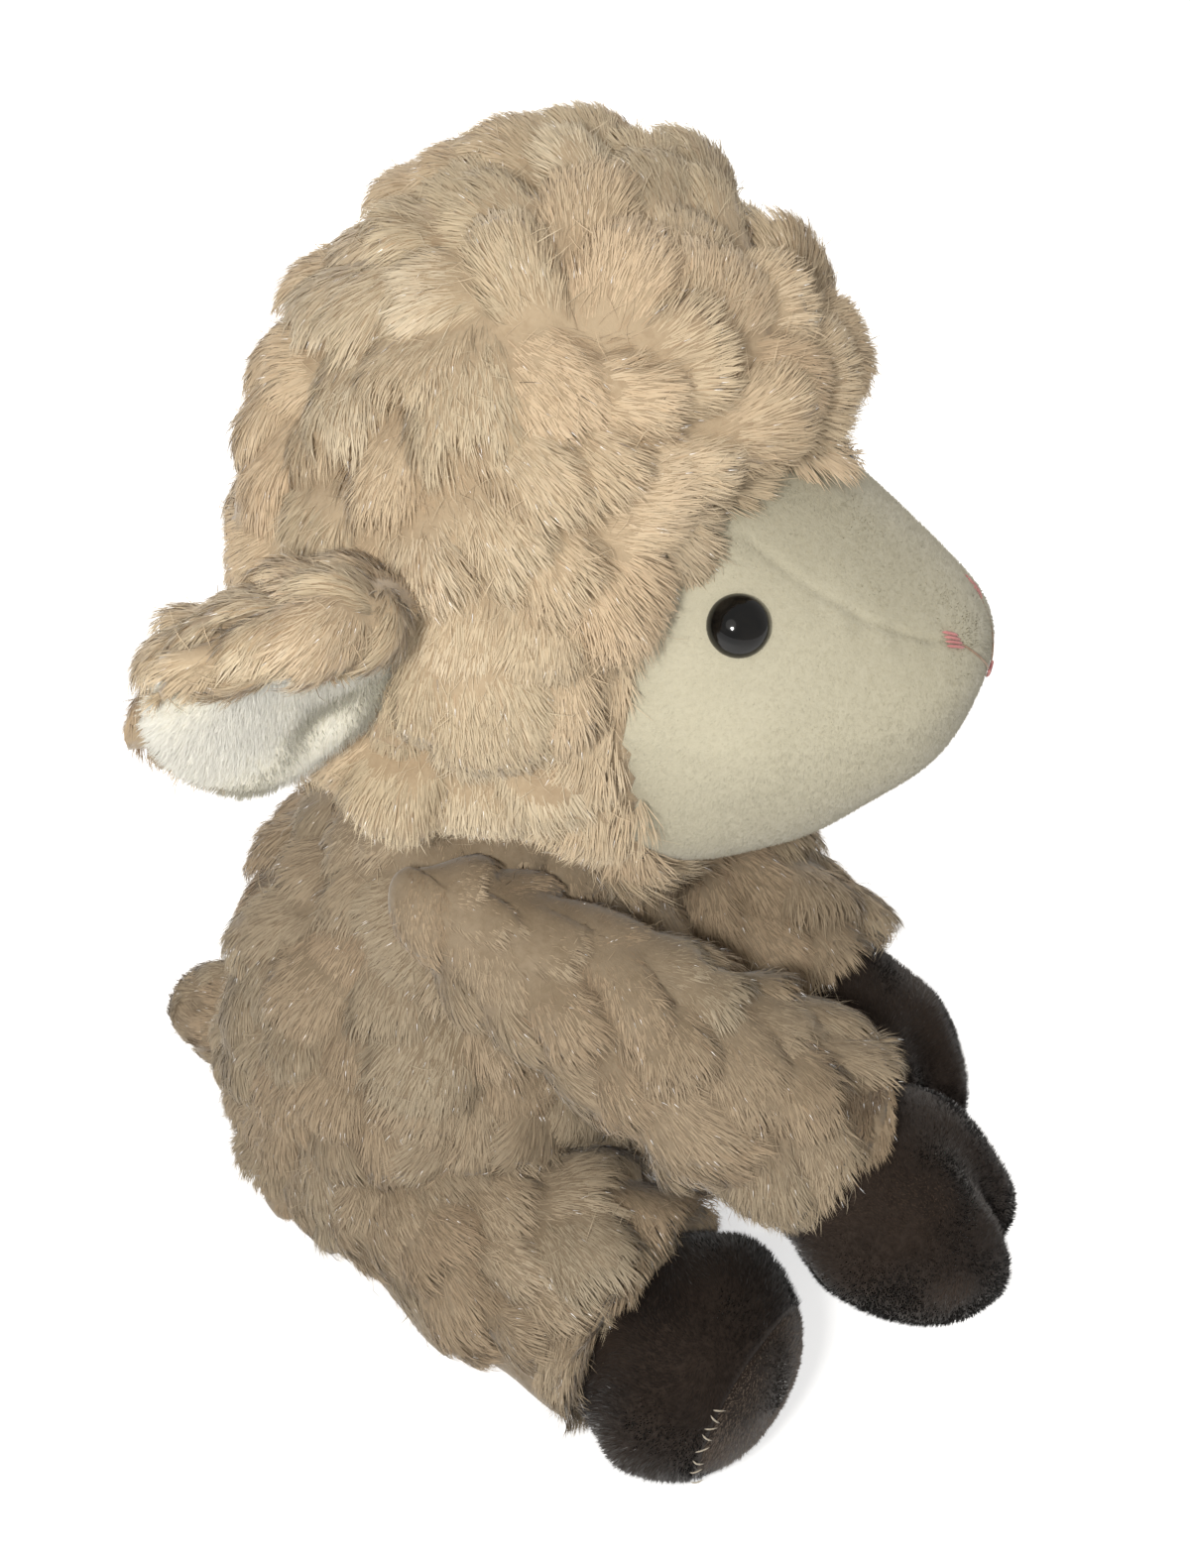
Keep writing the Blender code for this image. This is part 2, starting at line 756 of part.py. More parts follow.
def build_tail(wool, blocker):
    root = tail_root_place()
    pivot = joint_empty("tail_root", root, (math.radians(-90 - tail_droop), 0, 0))
    half = tail_width / 2
    shape = egg(-tail_root, tail_length, half, half, round_shares, limb_rings, limb_segments)
    tail = piece("tail", shape, wool, pivot)
    upright = Vector((0, 0, 1))
    cut(tail, *swung_copies("torso_past_tail", blocker, root, upright, -tail_swing, tail_swing))


def ear_half(depth, way):
    """One half of the ear, along Z from its root: domed outside, and flat where the halves meet."""
    shape = bmesh.new()
    half = ear_width / 2
    seam = way * sewing_gap / 2
    middle = (ear_length - ear_root) / 2
    reach = (ear_length + ear_root) / 2

    def cupped(across, rise, height):
        share = across / half
        return shape.verts.new((across, rise - ear_cup * share * share, height))

    loops = []
    for ring in range(1, ear_rings):
        share = math.sin(math.pi * (ring / ear_rings - 0.5))
        wide, deep = eased(ear_swell_shares, share)
        radius = math.sqrt(1 - share * share)
        height = middle + reach * share
        turns = [math.pi * k / ear_columns for k in range(ear_columns + 1)]
        places = [half * wide * radius * math.cos(turn) for turn in turns]
        domes = [way * depth * deep * radius * math.sin(turn) for turn in turns[1:-1]]
        loop = [cupped(places[0], seam, height)]
        loop += [cupped(place, seam + dome, height) for place, dome in zip(places[1:-1], domes)]
        loop += [cupped(place, seam, height) for place in reversed(places[1:])]
        loops.append(loop)
    foot = cupped(0, seam, middle - reach)
    tip = cupped(0, seam, middle + reach)
    count = len(loops[0])
    for k in range(count):
        n = (k + 1) % count
        shape.faces.new((foot, loops[0][n], loops[0][k]))
        shape.faces.new((tip, loops[-1][k], loops[-1][n]))
        for below, above in zip(loops, loops[1:]):
            shape.faces.new((below[k], below[n], above[n]))
            shape.faces.new((below[k], above[n], above[k]))
    bmesh.ops.recalc_face_normals(shape, faces=shape.faces)
    return shape


def ear_root_place(side):
    across = side * head_width / 2 * ear_side_share
    back = head_set_back + head_depth * ear_back_share
    return Vector((across, back, head_middle - head_height * ear_drop_share))


def build_ears(wool, white, head):
    blocker = grown(head, sewing_gap * 2)
    bmesh.ops.translate(blocker, verts=blocker.verts, vec=(0, head_set_back, 0))
    for side, name in ((1, "left"), (-1, "right")):
        root = ear_root_place(side)
        mirror = Vector((side, 1, 1))
        out = (Vector(ear_out_shares) * mirror).normalized()
        face = Vector(ear_face_shares) * mirror
        face = (face - out * face.dot(out)).normalized()
        stand = Matrix(((-face).cross(out), -face, out)).transposed()
        pivot = joint_empty(f"ear_root_{name}", root, stand.to_euler())
        copies = swung_copies(f"head_past_ear_{name}", blocker, root, Vector((0, 1, 0)), -ear_swing, ear_swing)
        cut(piece(f"ear_outer_{name}", ear_half(ear_wool, 1), wool, pivot), *copies)
        cut(piece(f"ear_lining_{name}", ear_half(ear_lining_depth, -1), white, pivot), *copies)


def main():
    clear_scene()
    wool = fabric("wool", (0.62, 0.50, 0.38), 0.95)
    stuffing = fabric("stuffing", (0.86, 0.86, 0.84), 1.0)
    pellet_cloth = fabric("pellet_cloth", (0.70, 0.70, 0.68), 0.9)
    face_cloth = fabric("face_cloth", (0.78, 0.77, 0.70), 0.9)
    ear_cloth = fabric("ear_cloth", (0.88, 0.86, 0.82), 0.95)
    hoof_cloth = fabric("hoof_cloth", (0.045, 0.034, 0.027), 0.9)
    nose_thread = fabric("nose_thread", (0.62, 0.25, 0.28), 0.6)
    eye_plastic = fabric("eye_plastic", (0.01, 0.01, 0.01), 0.12)
    washer_plastic = fabric("washer_plastic", (0.80, 0.80, 0.78), 0.4)

    torso_cover, torso_filling, torso = build_torso(wool, stuffing, pellet_cloth)
    muzzle = muzzle_form()
    aim = muzzle_matrix()
    cheeks = build_face(face_cloth, nose_thread, muzzle, aim)
    head, hood, head_filling = build_head(wool, stuffing, muzzle, aim)
    build_eyes(eye_plastic, washer_plastic, muzzle, aim, cheeks, head_filling)
    build_neck(stuffing, (torso_cover, torso_filling), (hood, *cheeks), head_filling)
    torso_room = grown(torso, sewing_gap * 2)
    build_arms(wool, stuffing, hoof_cloth, torso_room)
    build_legs(wool, stuffing, hoof_cloth, torso_room)
    build_tail(wool, torso_room)
    build_ears(wool, ear_cloth, head)
    bpy.context.view_layer.update()


main()
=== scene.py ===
"""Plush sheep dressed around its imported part: combed wool, short-pile face, ears and cloven hooves.

Metres, +Z up. The sheep faces -Y and its left side is at +X. Every soft cover is a stuffed form with
its pile grown on it, strand by strand, in locks and tufts.
"""

import math
from collections import namedtuple

import bpy
import numpy as np
from mathutils import Matrix, Vector
from mathutils.bvhtree import BVHTree


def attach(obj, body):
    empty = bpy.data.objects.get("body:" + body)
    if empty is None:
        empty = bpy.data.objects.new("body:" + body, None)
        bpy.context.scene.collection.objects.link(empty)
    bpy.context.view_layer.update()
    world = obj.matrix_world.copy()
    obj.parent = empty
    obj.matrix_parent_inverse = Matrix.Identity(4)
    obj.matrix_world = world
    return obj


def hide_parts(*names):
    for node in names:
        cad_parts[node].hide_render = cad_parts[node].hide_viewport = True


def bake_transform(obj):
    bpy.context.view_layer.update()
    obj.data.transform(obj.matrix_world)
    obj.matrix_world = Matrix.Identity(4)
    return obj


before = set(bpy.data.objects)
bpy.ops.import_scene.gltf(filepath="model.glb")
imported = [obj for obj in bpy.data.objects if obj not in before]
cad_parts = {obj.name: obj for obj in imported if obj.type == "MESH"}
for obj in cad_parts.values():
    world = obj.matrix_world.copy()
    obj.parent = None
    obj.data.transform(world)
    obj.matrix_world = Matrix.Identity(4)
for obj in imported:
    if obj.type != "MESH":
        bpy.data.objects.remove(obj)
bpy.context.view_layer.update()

MM = 0.001
DOWN = (0.0, 0.0, -1.0)
SIDES = {"left": 1, "right": -1}

# ---------------------------------------------------------------- stuffed forms

# A form's swell gives its two widths, as shares, at shares of its length from -1 to 1
ROUND = ((-1.0, 1.0, 1.0), (1.0, 1.0, 1.0))
Form = namedtuple(
    "Form", "place low high half_width half_depth swell corner bend", defaults=(ROUND, 1.0, None)
)
Skin = namedtuple("Skin", "points normals triangles quads")


def numbers(matrix):
    return np.array(matrix, float)


def moved(points, matrix):
    turn = numbers(matrix)
    return points @ turn[:3, :3].T + turn[:3, 3]


def turned(vectors, matrix):
    return vectors @ numbers(matrix)[:3, :3].T


def turn_about(axis, degrees):
    return Matrix.Rotation(math.radians(degrees), 4, axis)


def eased(swell, share):
    """The two widths at each share of the length, easing from station to station."""
    stations = np.array(swell)
    at = np.clip(np.searchsorted(stations[:, 0], share, side="left"), 1, len(stations) - 1)
    before, after = stations[at - 1], stations[at]
    step = np.clip((share - before[:, 0]) / (after[:, 0] - before[:, 0]), 0, 1)
    step = step * step * (3 - 2 * step)
    widths = before[:, 1:] + (after[:, 1:] - before[:, 1:]) * step[:, None]
    return widths[:, 0], widths[:, 1]


def share_at(form, height):
    return (height - (form.low + form.high) / 2) / ((form.high - form.low) / 2)


def ring_points(form, share, turn):
    """Local points of a form at shares of its length and turns round it."""

    def boxed(value):
        return np.sign(value) * np.abs(value) ** form.corner

    wide, deep = eased(form.swell, share)
    radius = np.sqrt(np.clip(1 - share * share, 0, 1)) ** form.corner
    height = (form.low + form.high) / 2 + (form.high - form.low) / 2 * share
    across = form.half_width * wide * radius * boxed(np.cos(turn))
    along = form.half_depth * deep * radius * boxed(np.sin(turn))
    points = np.stack([across, along, height], axis=1)
    return form.bend(points) if form.bend else points


def with_normals(points, triangles, quads):
    corners = points[triangles]
    facing = np.cross(corners[:, 1] - corners[:, 0], corners[:, 2] - corners[:, 0])
    normals = np.zeros_like(points)
    for k in range(3):
        np.add.at(normals, triangles[:, k], facing)
    normals /= np.maximum(np.linalg.norm(normals, axis=1), 1e-12)[:, None]
    return Skin(points, normals, triangles, quads)


def lofted(loops, foot, tip):
    """The points, quads and end fans of a closed surface through loops of as many points each."""
    rows, count = len(loops), len(loops[0])
    k = np.arange(count)
    n = (k + 1) % count
    low = count * np.arange(rows - 1)[:, None]
    high = low + count
    quads = np.stack([low + k, low + n, high + n, high + k], axis=2).reshape(-1, 4)
    last, end = (rows - 1) * count, np.full(count, rows * count)
    fans = [np.stack([end, n, k], axis=1), np.stack([end + 1, last + k, last + n], axis=1)]
    return np.concatenate([*loops, [foot], [tip]]), quads, np.concatenate(fans)


def closed_skin(points, quads, fans):
    triangles = np.concatenate([quads[:, [0, 1, 2]], quads[:, [0, 2, 3]], fans])
    return with_normals(points, triangles, (quads, fans))


def skin_of(form, rings, columns, low_share=-1.0, high_share=1.0, tuck=0.6):
    """A closed skin over a form. Where a share stops short of a pole, the end is tucked in and closed."""
    open_below, open_above = low_share > -1, high_share < 1
    shares = np.sin(np.linspace(math.asin(low_share), math.asin(high_share), rings + 1))
    turns = 2 * math.pi * np.arange(columns) / columns

    def tucked(loop):
        return loop.mean(0) + (loop - loop.mean(0)) * tuck

    def pole(share):
        return ring_points(form, np.array([share]), np.array([0.0]))[0]

    inner = shares[0 if open_below else 1 : None if open_above else -1]
    loops = [ring_points(form, np.full(columns, share), turns) for share in inner]
    if open_below:
        loops.insert(0, tucked(loops[0]))
    if open_above:
        loops.append(tucked(loops[-1]))
    foot = loops[0].mean(0) if open_below else pole(-1.0)
    tip = loops[-1].mean(0) if open_above else pole(1.0)
    points, quads, fans = lofted(loops, foot, tip)
    return closed_skin(moved(points, form.place), quads, fans)


def reshaped(skin, points):
    return with_normals(points, skin.triangles, skin.quads)


def within(form, points, margin=0.0):
    """Which points lie inside a form that isn't bent, grown by a margin."""
    local = moved(points, form.place.inverted())
    share = (local[:, 2] - (form.low + form.high) / 2) / ((form.high - form.low) / 2 + margin)
    inside = np.abs(share) < 1
    share = np.clip(share, -1, 1)
    wide, deep = eased(form.swell, share)
    radius = np.sqrt(1 - share * share) ** form.corner
    across = np.abs(local[:, 0]) / (form.half_width * wide * radius + margin + 1e-9)
    along = np.abs(local[:, 1]) / (form.half_depth * deep * radius + margin + 1e-9)
    power = 2 / form.corner
    return inside & (across**power + along**power < 1)


def ripple(points, size, seed, waves=14):
    """Smooth irregular values of about -1 to 1, with features of about the given size."""
    draw = np.random.default_rng(seed)
    ways = draw.normal(size=(waves, 3))
    pitch = (2 * math.pi / size) * draw.uniform(0.5, 1.3, (waves, 1))
    ways *= pitch / np.linalg.norm(ways, axis=1)[:, None]
    phases = draw.uniform(0, 2 * math.pi, waves)
    return np.sin(points @ ways.T + phases).sum(1) / math.sqrt(waves / 2) / 1.6


def smooth_step(low, high, value):
    share = np.clip((value - low) / (high - low), 0, 1)
    return share * share * (3 - 2 * share)


# ---------------------------------------------------------------- meshes and materials


def mesh_object(name, points, faces, material, smooth=True):
    """A mesh from points and a list of index arrays, one array per number of corners."""
    mesh = bpy.data.meshes.new(name)
    arrays = [np.asarray(part) for part in faces if len(part)]
    corners = np.concatenate([part.ravel() for part in arrays]).astype(np.int32)
    totals = np.concatenate([np.full(len(part), part.shape[1]) for part in arrays]).astype(np.int32)
    starts = np.concatenate([[0], np.cumsum(totals)[:-1]]).astype(np.int32)
    mesh.vertices.add(len(points))
    mesh.vertices.foreach_set("co", np.asarray(points, np.float32).ravel())
    mesh.loops.add(len(corners))
    mesh.loops.foreach_set("vertex_index", corners)
    mesh.polygons.add(len(totals))
    mesh.polygons.foreach_set("loop_start", starts)
    mesh.polygons.foreach_set("loop_total", totals)
    mesh.polygons.foreach_set("use_smooth", np.full(len(totals), smooth))
    mesh.update(calc_edges=True)
    obj = bpy.data.objects.new(name, mesh)
    bpy.context.scene.collection.objects.link(obj)
    mesh.materials.append(material)
    return obj


def skin_object(name, skin, material):
    return mesh_object(name, skin.points, skin.quads, material)


def finished(obj, body, replaced=(), blended=None):
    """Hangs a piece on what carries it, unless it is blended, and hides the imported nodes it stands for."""
    if blended:
        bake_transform(obj)
    else:
        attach(obj, body)
    if replaced:
        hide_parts(*replaced)


class Shading:
    """Short words for adding and joining shader nodes."""

    def __init__(self, tree):
        self.tree = tree

    def into(self, node, inputs):
        """Joins or sets each of a node's inputs."""
        for key, value in inputs.items():
            if isinstance(value, bpy.types.NodeSocket):
                self.tree.links.new(value, node.inputs[key])
            else:
                node.inputs[key].default_value = value

    def add(self, kind, inputs=None, **settings):
        node = self.tree.nodes.new(kind)
        for key, value in settings.items():
            setattr(node, key, value)
        self.into(node, inputs or {})
        return node

    def sum(self, operation, first, second=0.0, third=0.0):
        node = self.add("ShaderNodeMath", {0: first, 1: second, 2: third}, operation=operation)
        return node.outputs[0]

    def spread(self, value, low, high, to_low=0.0, to_high=1.0):
        inputs = {0: value, 1: low, 2: high, 3: to_low, 4: to_high}
        return self.add("ShaderNodeMapRange", inputs, interpolation_type="SMOOTHSTEP").outputs[0]

    def blend(self, share, first, second):
        inputs = {0: share, 6: first, 7: second}
        return self.add("ShaderNodeMix", inputs, data_type="RGBA").outputs[2]

    def noise(self, scale, detail, roughness=0.5, place=None):
        """Noise over the object's own space, or over another place."""
        place = place or self.add("ShaderNodeTexCoord").outputs["Object"]
        inputs = {"Vector": place, "Scale": scale, "Detail": detail, "Roughness": roughness}
        return self.add("ShaderNodeTexNoise", inputs).outputs[0]


def colour(shown):
    """The shader's colour for one given as it shows on a screen, 0 to 255."""
    value = np.array(shown) / 255
    linear = np.where(value <= 0.04045, value / 12.92, ((value + 0.055) / 1.055) ** 2.4)
    return (*linear.tolist(), 1.0)


BLACK, GREY, WHITE = (0.0, 0.0, 0.0, 1.0), (0.5, 0.5, 0.5, 1.0), (1.0, 1.0, 1.0, 1.0)


def group(name, inputs, colours_out, numbers_out):
    """A node group whose inputs are named with their defaults, and its outputs by what they give."""
    tree = bpy.data.node_groups.new(name, "ShaderNodeTree")
    for socket, value in inputs.items():
        kind = "NodeSocketFloat" if isinstance(value, float) else "NodeSocketColor"
        tree.interface.new_socket(name=socket, in_out="INPUT", socket_type=kind).default_value = value
    for kind, sockets in (("NodeSocketColor", colours_out), ("NodeSocketFloat", numbers_out)):
        for socket in sockets:
            tree.interface.new_socket(name=socket, in_out="OUTPUT", socket_type=kind)
    given, leave = (tree.nodes.new("NodeGroup" + end) for end in ("Input", "Output"))
    return tree, Shading(tree), given.outputs, leave


# The pile map's width holds four bands of tones, from cool to warm, and then the strands with a painted glint
PILE_MAP = "OFBake"
BANDS, BAND, GLINT = 4, 0.24, 0.985


def strand_dye():
    """The colour and gloss of one strand of pile, from its tone and the place along it, with painted shade at
    its root and a glowing painted glint at the tip of a glinting strand.
    """
    inputs = {"Tone": 0.5, "Along": 0.5, "Deep": GREY, "Body": GREY, "Pale": GREY, "Warm": GREY}
    inputs |= {"Warmth": 0.3, "Glints": 0.2}
    tree, nodes, given, leave = group("strand_dye", inputs, ("Colour", "Painted Glint Glow"), ("Roughness",))
    place = nodes.add("ShaderNodeCombineXYZ", {0: given["Tone"], 1: given["Along"]}).outputs[0]
    band = nodes.sum("DIVIDE", given["Tone"], BAND)
    level = nodes.sum("FLOOR", band)
    stretched = nodes.add("ShaderNodeMapping", {"Vector": place, "Scale": (1600.0, 2.2, 1.0)}).outputs[0]
    streak = nodes.sum("SUBTRACT", nodes.noise(1.0, 2.0, 0.6, stretched), 0.5)
    toned = nodes.sum("ADD", nodes.sum("SUBTRACT", band, level), nodes.sum("MULTIPLY", streak, 0.12))
    shade = nodes.blend(nodes.spread(toned, 0.0, 0.45), given["Deep"], given["Body"])
    shade = nodes.blend(nodes.spread(toned, 0.45, 0.95), shade, given["Pale"])
    warm = nodes.sum("MULTIPLY", nodes.sum("DIVIDE", level, BANDS - 1.0), given["Warmth"])
    shade = nodes.blend(warm, shade, given["Warm"])
    # Painted shade: near its root each strand is blended towards the deep colour, as if the pile over it
    # shaded it.
    shade = nodes.blend(nodes.spread(given["Along"], 0.0, 0.5, 0.3, 0.0), shade, given["Deep"])
    # Painted glint: the tip of a glinting strand is white and glows, as if it caught the lamp.
    tip = nodes.spread(given["Along"], 0.70, 0.78)
    painted_glint_tips = nodes.sum("MULTIPLY", nodes.spread(given["Tone"], 0.968, 0.976), tip)
    glint = nodes.sum("MULTIPLY", painted_glint_tips, given["Glints"])
    roughness = nodes.sum("MULTIPLY_ADD", glint, -0.58, 0.84)
    made = {"Colour": nodes.blend(glint, shade, WHITE), "Painted Glint Glow": nodes.blend(glint, BLACK, WHITE)}
    nodes.into(leave, made | {"Roughness": roughness})
    return tree


def cloth_grain():
    """Knitted backing or felted cloth: a mottled colour and a fine height."""
    inputs = {"Body": GREY, "Deep": GREY, "Fine": 900.0, "Broad": 60.0}
    tree, nodes, given, leave = group("cloth_grain", inputs, ("Colour",), ("Height", "Roughness"))
    fine, broad = nodes.noise(given["Fine"], 4.0, 0.65), nodes.noise(given["Broad"], 3.0, 0.55)
    mottle = nodes.sum("ADD", nodes.sum("MULTIPLY", fine, 0.45), nodes.sum("MULTIPLY", broad, 0.55))
    shade = nodes.blend(nodes.spread(mottle, 0.35, 0.62), given["Deep"], given["Body"])
    roughness = nodes.spread(fine, 0.3, 0.7, 0.95, 0.75)
    nodes.into(leave, {"Colour": shade, "Height": fine, "Roughness": roughness})
    return tree


STRAND_DYE = strand_dye()
CLOTH_GRAIN = cloth_grain()


def plain_material(name):
    material = bpy.data.materials.new(name)
    material.use_nodes = True
    shader = material.node_tree.nodes["Principled BSDF"]
    return material, Shading(material.node_tree), shader


def pile_material(name, deep, body, pale, warm, warmth=0.0, glints=0.3, sheen=0.15, specular=0.35):
    """Strands in shades from deep to pale, a share of them warmer."""
    material, nodes, shader = plain_material(name)
    mapped = nodes.add("ShaderNodeUVMap", uv_map=PILE_MAP).outputs[0]
    tone, along, _ = nodes.add("ShaderNodeSeparateXYZ", {0: mapped}).outputs
    given = {"Tone": tone, "Along": along, "Warmth": warmth, "Glints": glints}
    given |= {"Deep": colour(deep), "Body": colour(body), "Pale": colour(pale), "Warm": colour(warm)}
    dye = nodes.add("ShaderNodeGroup", given, node_tree=STRAND_DYE).outputs
    # The emission is the painted glow of the glinting strands' tips; on all other strands its colour is
    # black.
    inputs = {"Base Color": dye["Colour"], "Roughness": dye["Roughness"], "Emission Color": dye["Painted Glint Glow"]}
    inputs |= {"Emission Strength": 0.4, "Sheen Weight": sheen, "Sheen Roughness": 0.4}
    nodes.into(shader, inputs | {"Specular IOR Level": specular})
    return material


def cloth_material(name, body, deep, fine, broad, bump, sheen=0.3):
    material, nodes, shader = plain_material(name)
    given = {"Body": colour(body), "Deep": colour(deep), "Fine": fine, "Broad": broad}
    grain = nodes.add("ShaderNodeGroup", given, node_tree=CLOTH_GRAIN).outputs
    raised = {"Strength": bump, "Distance": 0.4 * MM, "Height": grain["Height"]}
    normal = nodes.add("ShaderNodeBump", raised).outputs[0]
    inputs = {"Base Color": grain["Colour"], "Roughness": grain["Roughness"], "Normal": normal}
    inputs |= {"Sheen Weight": sheen, "Sheen Roughness": 0.45, "Specular IOR Level": 0.2}
    nodes.into(shader, inputs)
    return material


HEAD_WOOL = pile_material(
    "head_wool", (154, 136, 111), (206, 189, 160), (226, 212, 187), (220, 190, 156), 0.42, 1.0
)
# The body's wool is darker than the head's: partly a greyer tone of its own, partly painted shade where less
# light reaches the body below the head.
BODY_WOOL = pile_material(
    "body_wool", (116, 101, 82), (172, 156, 132), (194, 180, 156), (184, 156, 126), 0.4, 1.0
)
FACE_PILE = pile_material(
    "face_pile", (180, 174, 152), (196, 190, 168), (206, 201, 181), (232, 214, 192), 0.0, 0.2
)
EAR_PILE = pile_material("ear_pile", (232, 227, 213), (250, 248, 238), (254, 253, 248), (250, 240, 224))
HOOF_PILE = pile_material(
    "hoof_pile", (26, 19, 15), (54, 43, 35), (86, 71, 60), (78, 60, 46), sheen=0.25, specular=0.2
)
SOLE_PILE = pile_material(
    "sole_pile", (64, 54, 46), (98, 85, 74), (122, 108, 96), (110, 92, 78), 0.25, sheen=0.25, specular=0.2
)
# The backings are darker than the wool on them: painted shade that shows in the gaps between the locks. The
# body's backing is darker again, like the body's wool.
HEAD_BACKING = cloth_material("head_backing", (184, 164, 136), (168, 147, 120), 700.0, 70.0, 0.5)
BODY_BACKING = cloth_material("body_backing", (150, 134, 112), (134, 118, 96), 700.0, 70.0, 0.5)
FACE_CLOTH = cloth_material("face_cloth", (196, 190, 168), (188, 182, 160), 900.0, 55.0, 0.35)
EAR_CLOTH = cloth_material("ear_cloth", (246, 243, 232), (232, 228, 214), 800.0, 60.0, 0.4)
HOOF_CLOTH = cloth_material("hoof_cloth", (48, 38, 31), (34, 26, 21), 800.0, 70.0, 0.4, sheen=0.2)
STITCH_THREAD = cloth_material("stitch_thread", (206, 196, 178), (170, 158, 140), 2500.0, 300.0, 0.4)
NOSE_THREAD = cloth_material("nose_thread", (214, 150, 146), (192, 122, 122), 2500.0, 300.0, 0.4)
# Thin brownish thread in the brown of the seam's shaded crease: partly a stitch, partly painted shade.
NOSE_LINE_STITCH_AND_SHADE = cloth_material(
    "nose_line_stitch_and_shade", (178, 152, 130), (158, 130, 108), 2500.0, 300.0, 0.3
)


def eye_material():
    material, nodes, shader = plain_material("eye_plastic")
    haze = nodes.noise(240.0, 3.0)
    tint = nodes.blend(nodes.spread(haze, 0.4, 0.7), (0.003, 0.003, 0.003, 1), (0.008, 0.007, 0.006, 1))
    gloss = nodes.spread(haze, 0.3, 0.7, 0.05, 0.12)
    nodes.into(shader, {"Base Color": tint, "Roughness": gloss, "Specular IOR Level": 0.4})
    return material


def washer_material():
    material, nodes, shader = plain_material("washer_plastic")
    cloud = nodes.noise(300.0, 2.0)
    tint = nodes.blend(cloud, (0.62, 0.62, 0.60, 1), (0.78, 0.78, 0.76, 1))
    nodes.into(shader, {"Base Color": tint, "Roughness": nodes.spread(cloud, 0.3, 0.7, 0.3, 0.45)})
    return material


# ---------------------------------------------------------------- pile

# Wool: how its locks lie (spacing to height), then how its strands do. Angles are in degrees.
Coat = namedtuple(
    "Coat",
    "spacing long half_width height strand lift settle density width tuft gather fan frizz loose glints",
)
WOOL = Coat(
    spacing=9.5 * MM,
    long=18 * MM,
    half_width=7.5 * MM,
    height=4.6 * MM,
    strand=4.8 * MM,
    lift=10,
    settle=-9,
    density=6.4e6,
    width=0.16 * MM,
    tuft=0.9 * MM,
    gather=0.25,
    fan=14,
    frizz=0.08 * MM,
    loose=0.035,
    glints=0.016,
)
STRAND_STEPS = (0.0, 0.55, 1.0)
SHORTEST = 1.2 * MM

# Shares along a lock, from its middle: it rises from its root to its crest, and drops past its end
LOCK_ROOT, LOCK_CREST, LOCK_END = -0.5, 0.40, 0.45
LOCKS_BESIDE = 7

# Clipped pile
Nap = namedtuple("Nap", "density long width patchy lift tone", defaults=(0.0,))
HOOF_NAP = Nap(density=6.5e6, long=1.0 * MM, width=0.3 * MM, patchy=0.4, lift=48)
HIND_NAP, SOLE_NAP = HOOF_NAP._replace(long=1.4 * MM, tone=-0.3), HOOF_NAP._replace(lift=30)
FACE_NAP = Nap(density=9.5e6, long=0.7 * MM, width=0.22 * MM, patchy=0.1, lift=24)
EAR_NAP = Nap(density=1.3e7, long=1.8 * MM, width=0.26 * MM, patchy=0.25, lift=50)


def steady(way):
    """Pile that is combed one way everywhere."""
    return lambda points, _: np.tile(way, (len(points), 1))


def scattered(skin, density, draw, keep=None):
    """Root points spread evenly over a skin, with the way out of it at each."""
    corners = skin.points[skin.triangles]
    doubled = np.cross(corners[:, 1] - corners[:, 0], corners[:, 2] - corners[:, 0])
    areas = np.linalg.norm(doubled, axis=1) / 2
    total = np.cumsum(areas)
    count = int(total[-1] * density)
    face = np.minimum(np.searchsorted(total, draw.random(count) * total[-1]), len(areas) - 1)
    first, second = draw.random(count), draw.random(count)
    over = first + second > 1
    first[over], second[over] = 1 - first[over], 1 - second[over]
    weights = np.stack([1 - first - second, first, second], axis=1)[:, :, None]
    roots = (skin.points[skin.triangles[face]] * weights).sum(1)
    outward = (skin.normals[skin.triangles[face]] * weights).sum(1)
    outward /= np.linalg.norm(outward, axis=1)[:, None]
    if keep is not None:
        kept = keep(roots, outward)
        roots, outward = roots[kept], outward[kept]
    return roots, outward


def spaced(points, spacing, draw):
    """Which points to keep, so that no two of them lie closer than the spacing."""
    cells, kept = {}, []
    places = np.floor(points / spacing).astype(int)
    for k in draw.permutation(len(points)):
        x, y, z = places[k]
        around = ((x + i, y + j, z + m) for i in (-1, 0, 1) for j in (-1, 0, 1) for m in (-1, 0, 1))
        beside = [n for cell in around for n in cells.get(cell, ())]
        if beside and (((points[beside] - points[k]) ** 2).sum(1) < spacing * spacing).any():
            continue
        cells.setdefault((x, y, z), []).append(k)
        kept.append(k)
    return np.array(kept)


def tufts_of(roots, size, seed):
    """Which tuft each root belongs to, and the middle of each root's tuft."""
    warp = np.stack([ripple(roots, 6 * size, seed + k, 5) for k in range(3)], axis=1)
    cells = np.floor((roots + 0.4 * size * warp) / size).astype(np.int64)
    keys = (cells[:, 0] * 73856093) ^ (cells[:, 1] * 19349663) ^ (cells[:, 2] * 83492791)
    tuft = np.unique(keys, return_inverse=True)[1].ravel()
    total = np.zeros((tuft.max() + 1, 3))
    np.add.at(total, tuft, roots)
    return tuft, (total / np.bincount(tuft)[:, None])[tuft]


def unit(vectors):
    return vectors / np.maximum(np.linalg.norm(vectors, axis=1), 1e-9)[:, None]


def along_skin(vectors, normals):
    return unit(vectors - (vectors * normals).sum(1)[:, None] * normals)


def rotated(vectors, axes, angles):
    cos, sin = np.cos(angles)[:, None], np.sin(angles)[:, None]
    return vectors * cos + np.cross(axes, vectors) * sin


